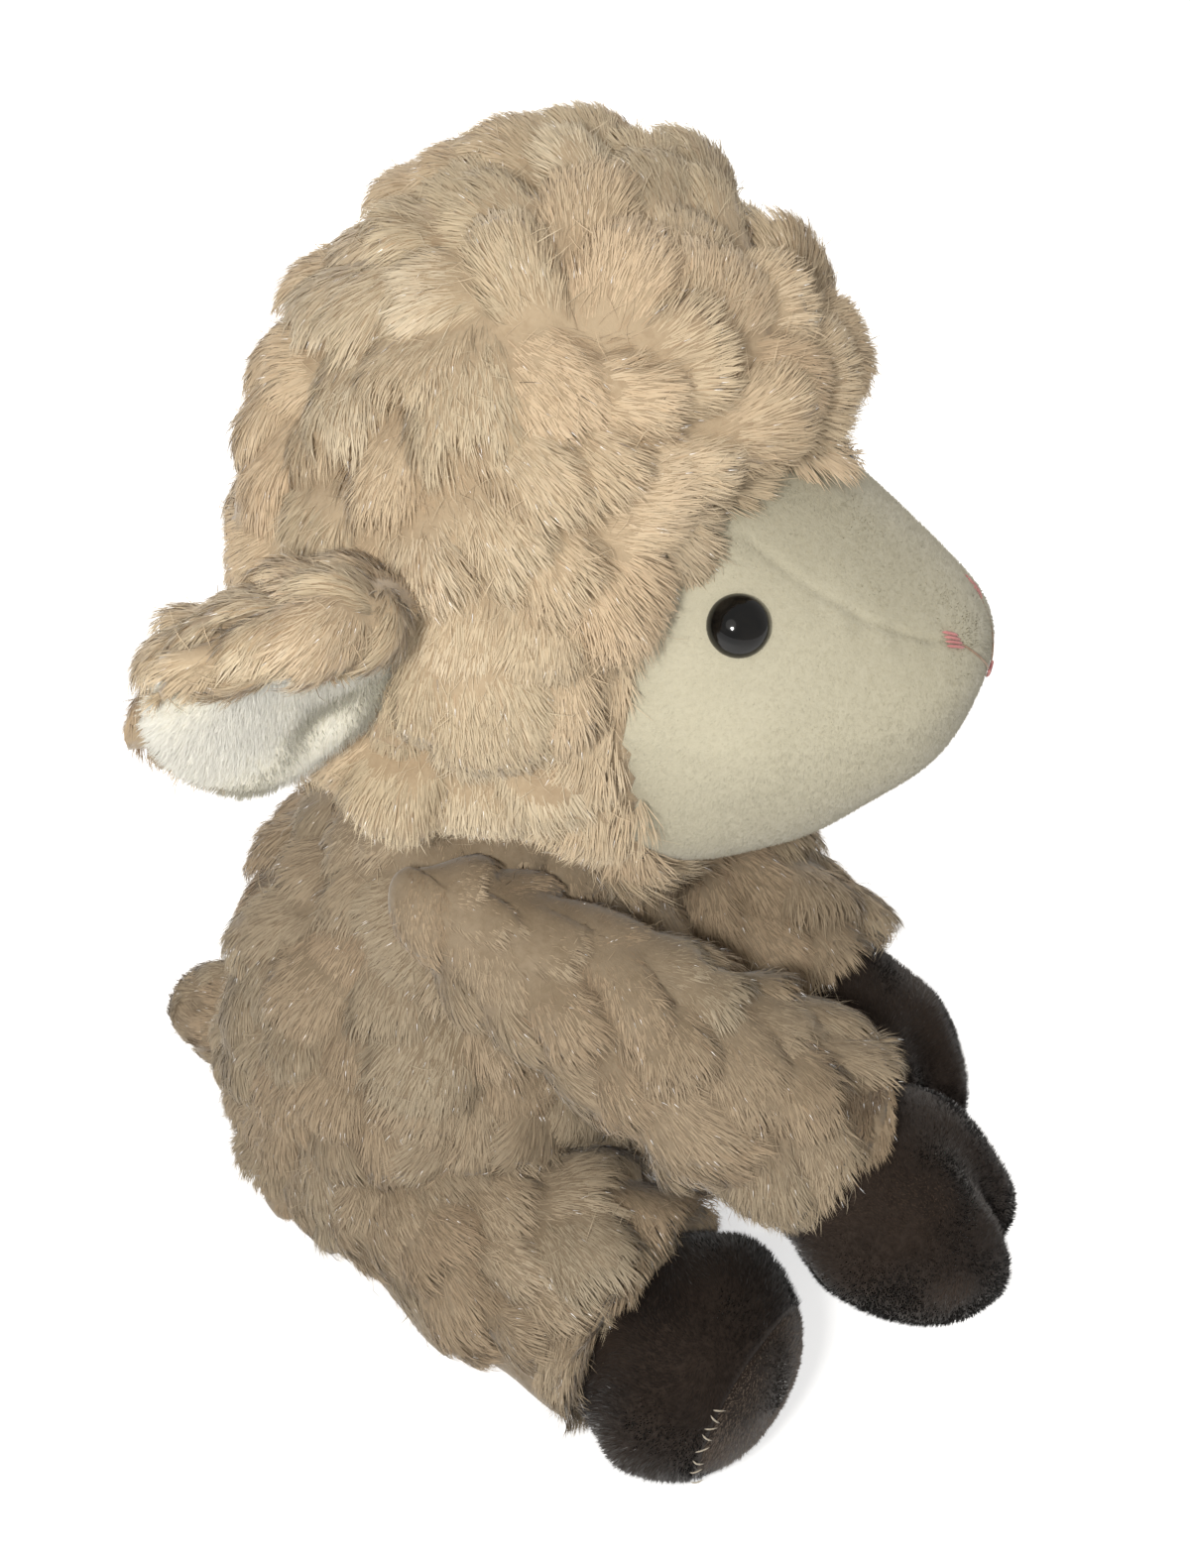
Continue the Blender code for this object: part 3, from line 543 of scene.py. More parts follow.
def above_floor(points):
    """The points, with those that would lie in the floor brought to just above it, in place."""
    soft, least = 2.0 * MM, 0.3 * MM
    height = points[..., 2]
    low = height < soft
    points[..., 2][low] = least + (soft - least) * np.exp((height[low] - soft) / soft)
    return points


def settled(skin):
    return reshaped(skin, above_floor(skin.points.copy()))


Locks = namedtuple("Locks", "centres normals ways sides heights long half_width tones warm")


def lay_locks(skin, coat, flow, seed, keep=None, height=None):
    """Locks of wool spread evenly over a skin, each with its way, its size and its tone."""
    draw = np.random.default_rng(seed)
    roots, normals = scattered(skin, 14 / coat.spacing**2, draw, keep)
    chosen = spaced(roots, coat.spacing, draw)
    places, normals = roots[chosen], normals[chosen]

    def each(size):
        return size * draw.normal(size=len(chosen))

    turn = np.radians(16) * ripple(places, 45 * MM, seed + 1) + each(np.radians(17))
    ways = rotated(along_skin(flow(places, normals), normals), normals, turn)
    heights = coat.height * (1 + each(0.30)).clip(0.35, 1.5)
    if height is not None:
        heights = heights * height(places, normals)
    long = coat.long * (1 + each(0.22)).clip(0.6, 1.5)
    wide = coat.half_width * (1 + each(0.25)).clip(0.6, 1.6)
    tones = 0.10 * ripple(places, 40 * MM, seed + 2) + each(0.06)
    warm = 1.2 + 1.3 * ripple(places, 30 * MM, seed + 6) + each(0.8)
    return Locks(places, normals, ways, np.cross(normals, ways), heights, long, wide, tones, warm)


def relief(points, normals, locks):
    """The lock on top at each point, its height, the shares along and across it, and its slopes."""
    parts = []
    pieces = len(points) // 20000 + 1
    jag = 0.05 * ripple(points, 3.5 * MM, 91, 8) + 0.08 * ripple(points, 9 * MM, 92, 8)
    for some, out, ragged in zip(*(np.array_split(part, pieces) for part in (points, normals, jag))):
        gap = (some**2).sum(1)[:, None] + (locks.centres**2).sum(1)[None] - 2 * some @ locks.centres.T
        near = np.argpartition(gap, LOCKS_BESIDE, axis=1)[:, :LOCKS_BESIDE]
        rows = np.arange(len(some))
        offset = some[:, None] - locks.centres[near]
        along = (offset * locks.ways[near]).sum(-1) / locks.long[near]
        across = (offset * locks.sides[near]).sum(-1) / locks.half_width[near]
        facing = (out[:, None] * locks.normals[near]).sum(-1) > 0.3
        rise = smooth_step(LOCK_ROOT, LOCK_CREST, along)
        dome = np.clip(1 - np.abs(across) ** 4, 0, 1)
        drop = 1 - smooth_step(0.0, 0.06, along - LOCK_END + 0.07 * across**2 - ragged[:, None])
        height = locks.heights[near] * rise * dome * drop * facing
        best = (height - 0.001 * np.sqrt(np.maximum(gap[rows[:, None], near], 0))).argmax(1)
        which = near[rows, best]
        along, across, height = along[rows, best], across[rows, best], height[rows, best]
        full = locks.heights[which]
        ahead, behind = (smooth_step(LOCK_ROOT, LOCK_CREST, along + step) for step in (0.03, -0.03))
        climb = full * (ahead - behind) * dome[rows, best] / (0.06 * locks.long[which])
        lean = -4 * full * rise[rows, best] * across**3 / locks.half_width[which]
        parts.append((which, height, along, across, climb, lean.clip(-0.9, 0.9)))
    return [np.concatenate(column) for column in zip(*parts)]


def shingled(skin, locks, share=1.0):
    """The skin with its locks raised on it, like shingles."""
    height = relief(skin.points, skin.normals, locks)[1] * share
    return reshaped(skin, skin.points + skin.normals * height[:, None])


def backed(name, body, skin, locks, material, replaced=(), blended=None, share=1.0):
    """The knitted backing of a wool cover, raised by the locks that lie on it."""
    backing = skin_object(name, settled(shingled(skin, locks, share)), material)
    finished(backing, body, replaced, blended)


def grow(name, body, skin, locks, coat, material, seed, keep=None, length=None, clipped=None, blended=None):
    """Dense short pile that covers the locks and overhangs their ends.

    length scales the strands at each root, and clipped gives the longest that the shears leave there.
    """
    draw = np.random.default_rng(seed)
    roots, normals = scattered(skin, coat.density, draw, keep)
    count = len(roots)
    lock, height, along, across, climb, lean = relief(roots, normals, locks)
    tuft, middle = tufts_of(roots, coat.tuft, seed + 3)
    tufts = tuft.max() + 1

    def each(size):
        return size * draw.normal(size=count)

    def by_tuft(size):
        return (size * draw.normal(size=tufts))[tuft]

    loose = draw.random(count) < coat.loose
    fanned = np.radians(coat.fan) * across.clip(-1.2, 1.2)
    turn = fanned + by_tuft(np.radians(6)) + each(np.radians(5))
    turn = turn + np.where(loose, each(0.7), 0)
    way = rotated(along_skin(locks.ways[lock], normals), normals, turn)
    side = np.cross(normals, way)
    up = unit(normals - way * climb[:, None] - 1.2 * side * lean[:, None])
    ahead = along_skin(way, up)
    side = np.cross(up, ahead)
    end = smooth_step(0.28, 0.5, along)

    strand = coat.strand * (1 + by_tuft(0.10) + each(0.10)) * (1 + 0.15 * end)
    if length is not None:
        strand = strand * length(roots, normals)
    strand = np.where(loose, strand * 1.15, strand)
    if clipped is not None:
        strand = np.minimum(strand, np.maximum(clipped(roots, normals) + each(0.5 * MM), SHORTEST))
    lift = np.radians(coat.lift) * (1 + by_tuft(0.3)) + each(np.radians(4)) - np.radians(8) * end
    lift = lift + np.where(loose, draw.uniform(0.2, 0.7, count), 0)
    settle = np.radians(coat.settle) + each(np.radians(5)) - np.radians(24) * end
    bend = settle - lift
    bend = np.where(np.abs(bend) < 0.05, 0.05, bend)

    steps = np.array(STRAND_STEPS)[None, :, None]
    angle = lift[:, None] + bend[:, None] * steps[..., 0]
    forward = (np.sin(angle) - np.sin(lift)[:, None]) / bend[:, None]
    rise = (np.cos(lift)[:, None] - np.cos(angle)) / bend[:, None]
    base = roots + normals * (height - 0.25 * MM)[:, None]
    path = forward[..., None] * ahead[:, None, :] + rise[..., None] * up[:, None, :]
    path = base[:, None, :] + strand[:, None, None] * path
    path -= coat.gather * steps**1.5 * (roots - middle)[:, None, :]
    wave = draw.uniform(0, 2 * math.pi, (count, 2))
    for k, aside in enumerate((side, up)):
        swing = np.sin(wave[:, k, None] + 5 * steps[..., 0])[..., None]
        path += coat.frizz * steps * swing * aside[:, None, :]
    path = above_floor(path)

    rows = len(STRAND_STEPS)
    heading = unit((path[:, 1:] - path[:, :-1]).reshape(-1, 3)).reshape(count, -1, 3)
    heading = np.concatenate([heading, heading[:, -1:]], axis=1).reshape(-1, 3)
    roll = each(np.radians(24))
    flat = side * np.cos(roll)[:, None] + up * np.sin(roll)[:, None]
    flat = unit(np.cross(heading, np.cross(np.repeat(flat, rows, 0), heading))).reshape(count, -1, 3)
    half = coat.width / 2 * (1 + each(0.25)).clip(0.5, 1.6) * np.where(loose, 0.6, 1)
    taper = np.interp(STRAND_STEPS, (0, 0.6, 1), (1, 1, 0.3))[None, :, None]
    aside = flat * half[:, None, None] * taper
    left, right = above_floor(path - aside), above_floor(path + aside)

    # Painted light and shade along each lock: strands are toned lighter towards the lock's end, which catches
    # the light, and darker towards its root.
    rooted = 0.12 * smooth_step(-0.35, 0.45, along)
    tones = 0.46 + locks.tones[lock] + rooted + by_tuft(0.06) + each(0.035)
    # A share of the strands is chosen for a painted glint at the tip.
    glint = draw.random(count) < coat.glints
    # Painted shade: strands are toned darker where the lock is low, in the valleys between locks.
    tones = tones - 0.26 * (1 - smooth_step(0, 0.4 * coat.height, height))
    mapped = banded(tones, locks.warm[lock] + by_tuft(0.3), glint)
    scatter = np.where(glint, 0.45, 0.05)[:, None] * draw.normal(size=(count, 3))
    outward = unit(up + ahead * (0.45 * end)[:, None] + scatter)
    wool = strands_object(name, left, right, path[:, -1], mapped, STRAND_STEPS, material, outward)
    finished(wool, body, blended=blended)


def banded(tones, warm=0.0, glint=False):
    """Where strands of these tones lie across the pile map."""
    level = np.clip(np.round(warm), 0, BANDS - 1)
    return np.where(glint, GLINT, (level + tones.clip(0.03, 0.97)) * BAND)


def strands_object(name, left, right, tips, mapped, steps, material, outward):
    """Flat strands: quads up to the last step but one, and a triangle that closes each at its tip."""
    count, rows = left.shape[0], len(steps)
    body = np.stack([left[:, : rows - 1], right[:, : rows - 1]], axis=2).reshape(count, -1, 3)
    points = np.concatenate([body, tips[:, None]], axis=1)
    per = points.shape[1]
    base = (np.arange(count) * per)[:, None, None]
    quad = np.array([[2 * r + 1, 2 * r, 2 * r + 2, 2 * r + 3] for r in range(rows - 2)], dtype=np.int64)
    end = 2 * (rows - 2)
    quads = (base + quad[None]).reshape(-1, 4) if rows > 2 else np.zeros((0, 4), int)
    closes = (base + np.array([[end + 1, end, end + 2]])[None]).reshape(-1, 3)
    obj = mesh_object(name, points.reshape(-1, 3), [quads, closes], material)
    layer = obj.data.uv_layers.new(name=PILE_MAP)
    step = np.array(steps)
    wide, margin = 0.0012, 0.02
    u = np.concatenate([np.tile([-wide, wide], rows - 1), [0.0]])[None] + mapped[:, None]
    v = np.concatenate([np.repeat(step[:-1], 2), [step[-1]]])[None] * (1 - 2 * margin) + margin
    placed = np.stack([u.clip(0, 1), v + np.zeros((count, 1))], axis=2).reshape(-1, 2)
    corners = np.concatenate([quads.ravel(), closes.ravel()])
    layer.data.foreach_set("uv", placed[corners].astype(np.float32).ravel())
    obj.data.normals_split_custom_set_from_vertices(np.repeat(outward, per, axis=0).astype(np.float32))
    return obj


def short_pile(name, body, skin, nap, material, seed, flow, keep):
    """Clipped pile: one tapered strand at each root, brushed this way and that in patches."""
    draw = np.random.default_rng(seed)
    roots, normals = scattered(skin, nap.density, draw, keep)
    count = len(roots)
    way = along_skin(flow(roots, normals), normals)
    brushed = ripple(roots, 16 * MM, seed + 3)
    way = rotated(way, normals, nap.patchy * 2.2 * brushed + 0.3 * draw.normal(size=count))
    side = np.cross(normals, way)
    angle = np.radians(nap.lift) + np.radians(14) * nap.patchy * ripple(roots, 9 * MM, seed + 4)
    angle = angle + np.radians(9) * draw.normal(size=count)
    strand = nap.long * (1 + 0.18 * draw.normal(size=count)).clip(0.5, 1.5)
    tips = roots + (np.cos(angle) * strand)[:, None] * way + (np.sin(angle) * strand)[:, None] * normals
    rooted = roots - normals * 0.15 * MM
    half = side * (nap.width / 2)
    left, right = above_floor(rooted - half)[:, None], above_floor(rooted + half)[:, None]
    patches = nap.patchy * (0.2 * brushed + 0.2 * ripple(roots, 30 * MM, seed + 5))
    tones = 0.5 + patches + 0.06 * draw.normal(size=count)
    outward = unit(normals + 0.15 * draw.normal(size=(count, 3)))
    mapped = banded(tones + nap.tone)
    pile = strands_object(name, left, right, above_floor(tips), mapped, (0.0, 1.0), material, outward)
    finished(pile, body)


def tube(points, radius, sides=6, blunt=6):
    """A round tube along points, closed at both ends."""
    points = np.asarray(points, float)
    along = unit(np.gradient(points, axis=0))
    up = np.array([1.0, 0.0, 0.0]) if abs(along[:, 2]).max() > 0.9 else np.array([0.0, 0.0, 1.0])
    first = unit(np.cross(along, up))
    second = np.cross(along, first)
    turns = (2 * math.pi * np.arange(sides) / sides)[None, :, None]
    around = first[:, None] * np.cos(turns) + second[:, None] * np.sin(turns)
    share = np.linspace(-1, 1, len(points))
    thick = radius * np.sqrt(np.clip(1 - np.abs(share) ** blunt, 0.05, 1))
    return lofted(points[:, None] + around * thick[:, None, None], points[0], points[-1])


def threads_object(name, runs, radius, material):
    """Several threads in one object."""
    points, quads, fans, base = [], [], [], 0
    for run in runs:
        flat, quad, fan = tube(run, radius)
        points.append(flat)
        quads.append(quad + base)
        fans.append(fan + base)
        base += len(flat)
    faces = [np.concatenate(quads), np.concatenate(fans)]
    return mesh_object(name, np.concatenate(points), faces, material)


def lumpy(skin, inset, size, depth, seed):
    """The skin drawn in by an inset, with soft lumps of the stuffing under it."""
    lumps = depth * ripple(skin.points, size, seed)
    return reshaped(skin, above_floor(skin.points + skin.normals * (lumps - inset)[:, None]))


# ---------------------------------------------------------------- torso

TORSO_SWELL = (
    (-1.0, 1.30, 1.30),
    (-0.8, 1.12, 1.12),
    (0.0, 1.0, 1.0),
    (0.6, 0.86, 0.90),
    (1.0, 1.05, 1.05),
)
TORSO = Form(Matrix.Identity(4), -16 * MM, 123 * MM, 50 * MM, 43 * MM, TORSO_SWELL)
TORSO_LOW, TORSO_TOP = 0.6 * MM, 117 * MM
TORSO_INSET, LIMB_INSET = 1.4 * MM, 2.6 * MM
CHEST, FLANK = 66 * MM, 4 * MM

Limb = namedtuple("Limb", "body place sleeve hoof cuff sole")


def hoof_form(place, width, height, reach, notch=0):
    """A hoof, cloven by a notch at its tip."""

    def cloven(points):
        share = np.clip((np.maximum(points[:, 2] / reach - 0.25, 0)) / 0.75, 0, 1)
        aside = np.abs(points[:, 0]) / (width / 2)
        groove = np.maximum(1 - aside / 0.42, 0)
        groove = groove * groove * (3 - 2 * groove) * share
        bent = points.copy()
        bent[:, 1] *= 1 - 0.26 * groove
        bent[:, 2] -= notch * 1.15 * groove
        return bent

    swell = ((-1.0, 0.76, 0.76), (-0.3, 0.84, 0.84), (0.2, 1.0, 1.0), (1.0, 1.0, 1.0))
    return Form(place, -16 * MM, reach, width / 2, height / 2, swell, 0.80, cloven if notch else None)


def limb_matrix(pivot, droop, across):
    return Matrix.Translation(pivot) @ (turn_about("Z", across) @ turn_about("X", 90 + droop))


def arm(name, side, forward, droop, converge):
    place = limb_matrix(Vector((side * 38 * MM, -forward, 95.94 * MM)), droop, -side * converge)
    swell = ((-1.0, 1.0, 1.0), (-0.3, 0.98, 0.98), (0.6, 1.14, 1.14), (1.0, 1.3, 1.3))
    sleeve = Form(place, -18 * MM, 109 * MM, 17.5 * MM, 17.5 * MM, swell)
    seat = Matrix.Translation((0, -3 * MM, 73 * MM)) @ turn_about("X", 8)
    hoof = hoof_form(place @ seat, width=42 * MM, height=36 * MM, reach=45 * MM, notch=6 * MM)
    return Limb("arm_" + name, place, sleeve, hoof, cuff=77 * MM, sole=0)


def leg(name, side):
    place = limb_matrix(Vector((side * 31 * MM, -4.3 * MM, 25.4 * MM)), 0, side * 15)
    swell = ((-1.0, 1.0, 1.0), (0.0, 1.0, 1.0), (0.6, 1.05, 1.02), (1.0, 1.35, 1.3))
    sleeve = Form(place, -26 * MM, 90 * MM, 25 * MM, 25 * MM, swell)
    seat = Matrix.Translation((0, -2.4 * MM, 54 * MM))
    hoof = hoof_form(place @ seat, width=46 * MM, height=44 * MM, reach=30 * MM)
    return Limb("leg_" + name, place, sleeve, hoof, cuff=58 * MM - 3.5 * MM, sole=6 * MM)


# Each limb with the seed of its wool
LIMBS = {
    101: arm("left", 1, forward=0, droop=24, converge=18),
    131: arm("right", -1, forward=7.74 * MM, droop=19, converge=6),
    161: leg("left", 1),
    191: leg("right", -1),
}


def pressed(points, normals):
    """Pile is shorter where the sheep sits on it, and under the head that turns above it."""
    on_floor = 0.15 + 0.85 * smooth_step(0, 22 * MM, points[:, 2] + 14 * MM * normals[:, 2])
    return on_floor * (1 - 0.6 * smooth_step(88 * MM, 106 * MM, points[:, 2]))


def torso_flow(points, _):
    back = np.clip(points[:, 1] / TORSO.half_depth, -1, 1)
    way = np.tile(DOWN, (len(points), 1))
    way[:, 1] += 0.25 * back
    way[:, 0] += 0.2 * np.sign(points[:, 0]) * (1 - np.abs(back))
    return way


def build_torso():
    skin = skin_of(TORSO, 110, 190, share_at(TORSO, TORSO_LOW), share_at(TORSO, TORSO_TOP))
    skin = lumpy(skin, TORSO_INSET, 40 * MM, 1.2 * MM, 3)
    locks = lay_locks(skin, WOOL, torso_flow, 11, height=pressed)
    replaced = ("torso_cover", "torso_filling", "pellet_bag")
    backed("torso_backing", "torso", skin, locks, BODY_BACKING, replaced)

    def part(high, front):
        def chosen(points, normals):
            kept = (points[:, 2] > 1.0 * MM) & (normals[:, 2] < 0.9) & (normals[:, 2] > -0.8)
            for limb in LIMBS.values():
                kept &= ~within(limb.sleeve, points, -4 * MM)
            kept &= (points[:, 2] > CHEST) == high
            return kept & (high | ((points[:, 1] < FLANK) == front))

        return chosen

    parts = {"chest_wool": part(True, True), "belly_wool": part(False, True), "back_wool": part(False, False)}
    for seed, (name, chosen) in enumerate(parts.items(), 12):
        grow(name, "torso", skin, locks, WOOL, BODY_WOOL, seed, chosen, pressed)


# ---------------------------------------------------------------- arms, legs and hooves

LIMB_WOOL = WOOL._replace(density=5.6e6)
CUFF_EDGE = 1 * MM
CUFF_FRINGE = 2.5 * MM
SEAM_GAP = 0.3 * MM
SOLE_STITCHES = (150, 157, 164, 171, 179, 187, 196, 222)


def build_limb(limb, seed):
    """The wool sleeve of an arm or a leg, and the hoof in its cuff."""
    kind, side = limb.body.split("_")
    top = share_at(limb.sleeve, limb.cuff)
    skin = lumpy(skin_of(limb.sleeve, 84, 110, -1.0, top, 0.8), LIMB_INSET, 30 * MM, 0.8 * MM, seed)
    axis = limb.place.to_3x3() @ Vector((0, 0, 1))
    inverse = limb.place.inverted()

    def covered(points, _):
        return moved(points, inverse)[:, 2] < limb.cuff - CUFF_EDGE

    flow = steady(numbers(axis) + np.array([0, 0, -0.35]))
    locks = lay_locks(skin, WOOL, flow, seed, covered, pressed)
    root = limb.place.translation
    start, end = root - axis * 12 * MM, root + axis * 14 * MM
    blended = ("torso", limb.body, start, end)
    replaced = (f"{kind}_cover_{side}", f"{kind}_filling_{side}")
    backed(f"{kind}_backing_{side}", limb.body, skin, locks, BODY_BACKING, replaced, blended)

    def keep(points, normals):
        kept = covered(points, normals) & (moved(points, inverse)[:, 2] > -14 * MM)
        kept &= (points[:, 2] > 1 * MM) & (normals[:, 2] > -0.96)
        return kept & ~within(TORSO, points, -5 * MM)

    def clipped(points, _):
        return (limb.cuff + CUFF_FRINGE - moved(points, inverse)[:, 2]) * 1.12

    name, dye = f"{kind}_wool_{side}", BODY_WOOL
    grow(name, limb.body, skin, locks, LIMB_WOOL, dye, seed + 1, keep, pressed, clipped, blended)
    build_hoof(limb, side, seed + 7)


def build_hoof(limb, side, seed):
    """A hoof of short pile, in one panel or with a sole sewn on in front."""
    form = limb.hoof
    inverse = form.place.inverted()
    edge = form.high - limb.sole
    flow = steady(-numbers(form.place)[:3, 2])
    skin = settled(skin_of(form, 44, 72))

    def strip(low, high=math.inf):
        def chosen(points, _):
            height = moved(points, inverse)[:, 2]
            return (height > low) & (height < high)

        return chosen

    if limb.sole:
        hoof, sole, seam = f"hind_hoof_{side}", f"hind_sole_{side}", share_at(form, edge)
        panels = {hoof: skin_of(form, 36, 72, -1.0, seam), sole: skin_of(form, 12, 72, seam)}
        piles = [(hoof, HIND_NAP, HOOF_PILE, strip(-6 * MM, edge - SEAM_GAP))]
        piles.append((sole, SOLE_NAP, SOLE_PILE, strip(edge + SEAM_GAP)))
    else:
        hoof = f"fore_hoof_{side}"
        panels, piles = {hoof: skin}, [(hoof, HOOF_NAP, HOOF_PILE, strip(-6 * MM))]
    for name, panel in panels.items():
        cloth = skin_object(name + "_cloth", settled(panel), HOOF_CLOTH)
        finished(cloth, limb.body, (name,))
    for k, (name, nap, dye, chosen) in enumerate(piles):
        short_pile(name + "_pile", limb.body, skin, nap, dye, seed + k, flow, chosen)
    if limb.sole:
        build_sole_stitches(limb, side, edge)


def build_sole_stitches(limb, side, edge):
    """Pale thread that shows here and there along the seam of a sole."""
    form = limb.hoof
    runs = []
    for k, turn in enumerate(np.radians(SOLE_STITCHES)):
        if side == "left":
            turn = math.pi - turn
        slant = 0.035 if k % 2 else -0.02
        turns = turn + np.linspace(-slant, slant, 5)
        heights = edge + np.linspace(-0.7, 0.9, 5) * MM
        local = ring_points(form, share_at(form, heights), turns)
        out = unit(local - np.array([0, 0, edge]))
        arch = (1.2 + 0.4 * np.sin(np.linspace(0, math.pi, 5))) * MM
        runs.append(moved(local + out * arch[:, None], form.place))
    stitches = threads_object(f"sole_stitches_{side}", runs, 0.16 * MM, STITCH_THREAD)
    finished(stitches, limb.body)


# ---------------------------------------------------------------- head

HEAD_SWELL = (
    (-1.0, 1.7, 1.7),
    (-0.8, 1.42, 1.42),
    (-0.45, 1.08, 1.06),
    (0.0, 1.0, 1.0),
    (0.7, 0.90, 0.93),
    (1.0, 0.92, 0.92),
)
HEAD = Form(Matrix.Translation((0, 4 * MM, 0)), 111 * MM, 225 * MM, 57 * MM, 51 * MM, HEAD_SWELL)
HEAD_INSET, CROWN_INSET = 2.2 * MM, 2.4 * MM
BROW_ROLL = 2.0 * MM
HOOD_EDGE = 104 * MM
SWIRL = np.array([-34, 8, 205]) * MM
CROWN, NAPE = 187 * MM, 6 * MM

MUZZLE_PLACE = Matrix.Translation((0, 4 * MM, 147 * MM)) @ turn_about("X", 90)
MUZZLE_REACH, MUZZLE_HALF_HEIGHT = 81 * MM, 44 * MM


def muzzle_bend(points):
    bent = points.copy()
    share = np.maximum(points[:, 2] / MUZZLE_REACH, 0)
    brow = np.maximum(points[:, 1] / MUZZLE_HALF_HEIGHT, 0)
    bent[:, 0] *= 1 - 0.25 * brow * share
    bent[:, 1] *= np.where(points[:, 1] > 0, 1 - 0.47 * share, 1)
    bent[:, 1] += 8 * MM * share * share
    return bent


MUZZLE_SWELL = ((-1.0, 1.0, 1.0), (-0.3, 1.02, 1.0), (0.3, 1.0, 1.0), (0.8, 0.97, 0.96), (1.0, 1.0, 1.0))
MUZZLE = Form(
    MUZZLE_PLACE,
    low=-26 * MM,
    high=MUZZLE_REACH,
    half_width=43.5 * MM,
    half_depth=MUZZLE_HALF_HEIGHT,
    swell=MUZZLE_SWELL,
    bend=muzzle_bend,
)

# The wool's edge round the face: the turn from the brow, and how far it lies from the muzzle's axis
WOOL_EDGE_TURNS = (0, 16, 33, 47, 60, 71, 80, 92, 110, 129, 150, 180)
WOOL_EDGE_ANGLES = (42, 47, 52, 57, 58, 58, 58, 56, 52, 50, 48, 49)


def brow_turn(local):
    """How far round the muzzle its local points lie from the middle of the brow, in degrees."""
    return np.degrees(np.arctan2(np.abs(local[:, 0]), local[:, 1]))


def round_face(points):
    """How far points lie outside the wool's edge, in degrees seen from inside the muzzle."""
    local = moved(points, MUZZLE_PLACE.inverted())
    turn = brow_turn(local)
    lean = np.degrees(np.arctan2(np.hypot(local[:, 0], local[:, 1]), local[:, 2]))
    lower = 7 * smooth_step(0, 6 * MM, points[:, 0]) * (1 - smooth_step(60, 85, turn))
    return lean - np.interp(turn, WOOL_EDGE_TURNS, WOOL_EDGE_ANGLES) + lower


def tree_of(skin):
    return BVHTree.FromPolygons(skin.points.tolist(), skin.triangles.tolist())


def head_skin(muzzle_tree):
    """The hood, which ends in a thick edge round the face."""
    base = skin_of(HEAD, 120, 200)
    inset = HEAD_INSET + CROWN_INSET * smooth_step(0.3, 0.95, base.normals[:, 2])
    skin = lumpy(base, inset, 30 * MM, 1.2 * MM, 5)
    middle = numbers(MUZZLE_PLACE)[:3, 3]
    outside = round_face(skin.points)
    rays = unit(skin.points - middle)
    reach = np.linalg.norm(skin.points - middle, axis=1)
    above = 1 - smooth_step(15, 50, brow_turn(turned(skin.points - middle, MUZZLE_PLACE.inverted())))
    reach += BROW_ROLL * above * smooth_step(-4, 4, outside) * (1 - smooth_step(8, 34, outside))
    for k in np.nonzero(outside < 14)[0]:
        hit = muzzle_tree.ray_cast(Vector(middle), Vector(rays[k]))
        if hit[0] is None:
            continue
        face = hit[3]
        share = smooth_step(-1.0, 10.0, outside[k])
        low = face + 0.5 * MM if outside[k] > -2 else face - 4 * MM
        raised = low + (reach[k] - low) * share
        reach[k] = raised if reach[k] > low else max(reach[k], min(low, face + 0.5 * MM))
    return reshaped(skin, middle + rays * reach[:, None])


def head_flow(points, normals):
    """Out from the swirl beside the crown, then down, and forward to the face beside it."""
    way = np.tile(DOWN, (len(points), 1))
    high = smooth_step(150 * MM, 195 * MM, points[:, 2])[:, None]
    out = along_skin(points - SWIRL, normals)
    way = way * (1 - high) + rotated(out, normals, np.full(len(points), 0.9)) * high
    near = 1 - smooth_step(4, 30, round_face(points))
    way[:, 1] -= 0.6 * near
    way[:, 2] -= 0.5 * near
    way[:, 1] += 0.2 * np.clip((points[:, 1] - 4 * MM) / (50 * MM), 0, 1)
    return way


def build_head():
    muzzle = skin_of(MUZZLE, 60, 96)
    skin = head_skin(tree_of(muzzle))
    locks = lay_locks(skin, WOOL, head_flow, 20, lambda points, _: round_face(points) > 1.0)
    # Locks lie flat at the wool's edge round the face
    edged = smooth_step(0, 7, round_face(skin.points))
    replaced = ("head_hood", "head_filling", "neck_stuffing")
    backed("head_backing", "head", skin, locks, HEAD_BACKING, replaced, share=edged)

    def part(crown, side=0, front=True):
        def chosen(points, normals):
            kept = (round_face(points) > 1.2 * ripple(points, 16 * MM, 24, 8)) & (normals[:, 2] > -0.86)
            kept &= (points[:, 2] > CROWN) == crown
            return kept & (crown | ((points[:, 0] * side > 0) & ((points[:, 1] < NAPE) == front)))

        return chosen

    def fringed(points, _):
        beside_face = 1 - smooth_step(3, 14, round_face(points))
        tufted = 0.55 + 0.45 * ripple(points, 11 * MM, 25, 8)
        return 1 + 0.9 * (1 - smooth_step(112 * MM, 124 * MM, points[:, 2])) + 0.7 * beside_face * tufted

    def clipped(points, normals):
        return (points[:, 2] - HOOD_EDGE) * 1.1 + 12 * MM * smooth_step(0, -0.9, normals[:, 2])

    parts = [("crown_wool", part(True), 31)]
    for name, side in SIDES.items():
        parts.append((f"hood_wool_{name}", part(False, side, True), 33 + side))
        parts.append((f"nape_wool_{name}", part(False, side, False), 37 + side))
    for name, chosen, seed in parts:
        grow(name, "head", skin, locks, WOOL, HEAD_WOOL, seed, chosen, fringed, clipped)
    build_face(muzzle)


# ---------------------------------------------------------------- face

# The seam between the bridge and each cheek: its turn from the brow along the muzzle
SEAM_REACH = (0, 30, 39, 50, 61, 69, 75, 81)
SEAM_TURNS = (28, 33, 36, 41, 42, 38, 29, 20)
CHIN_TURN = 152


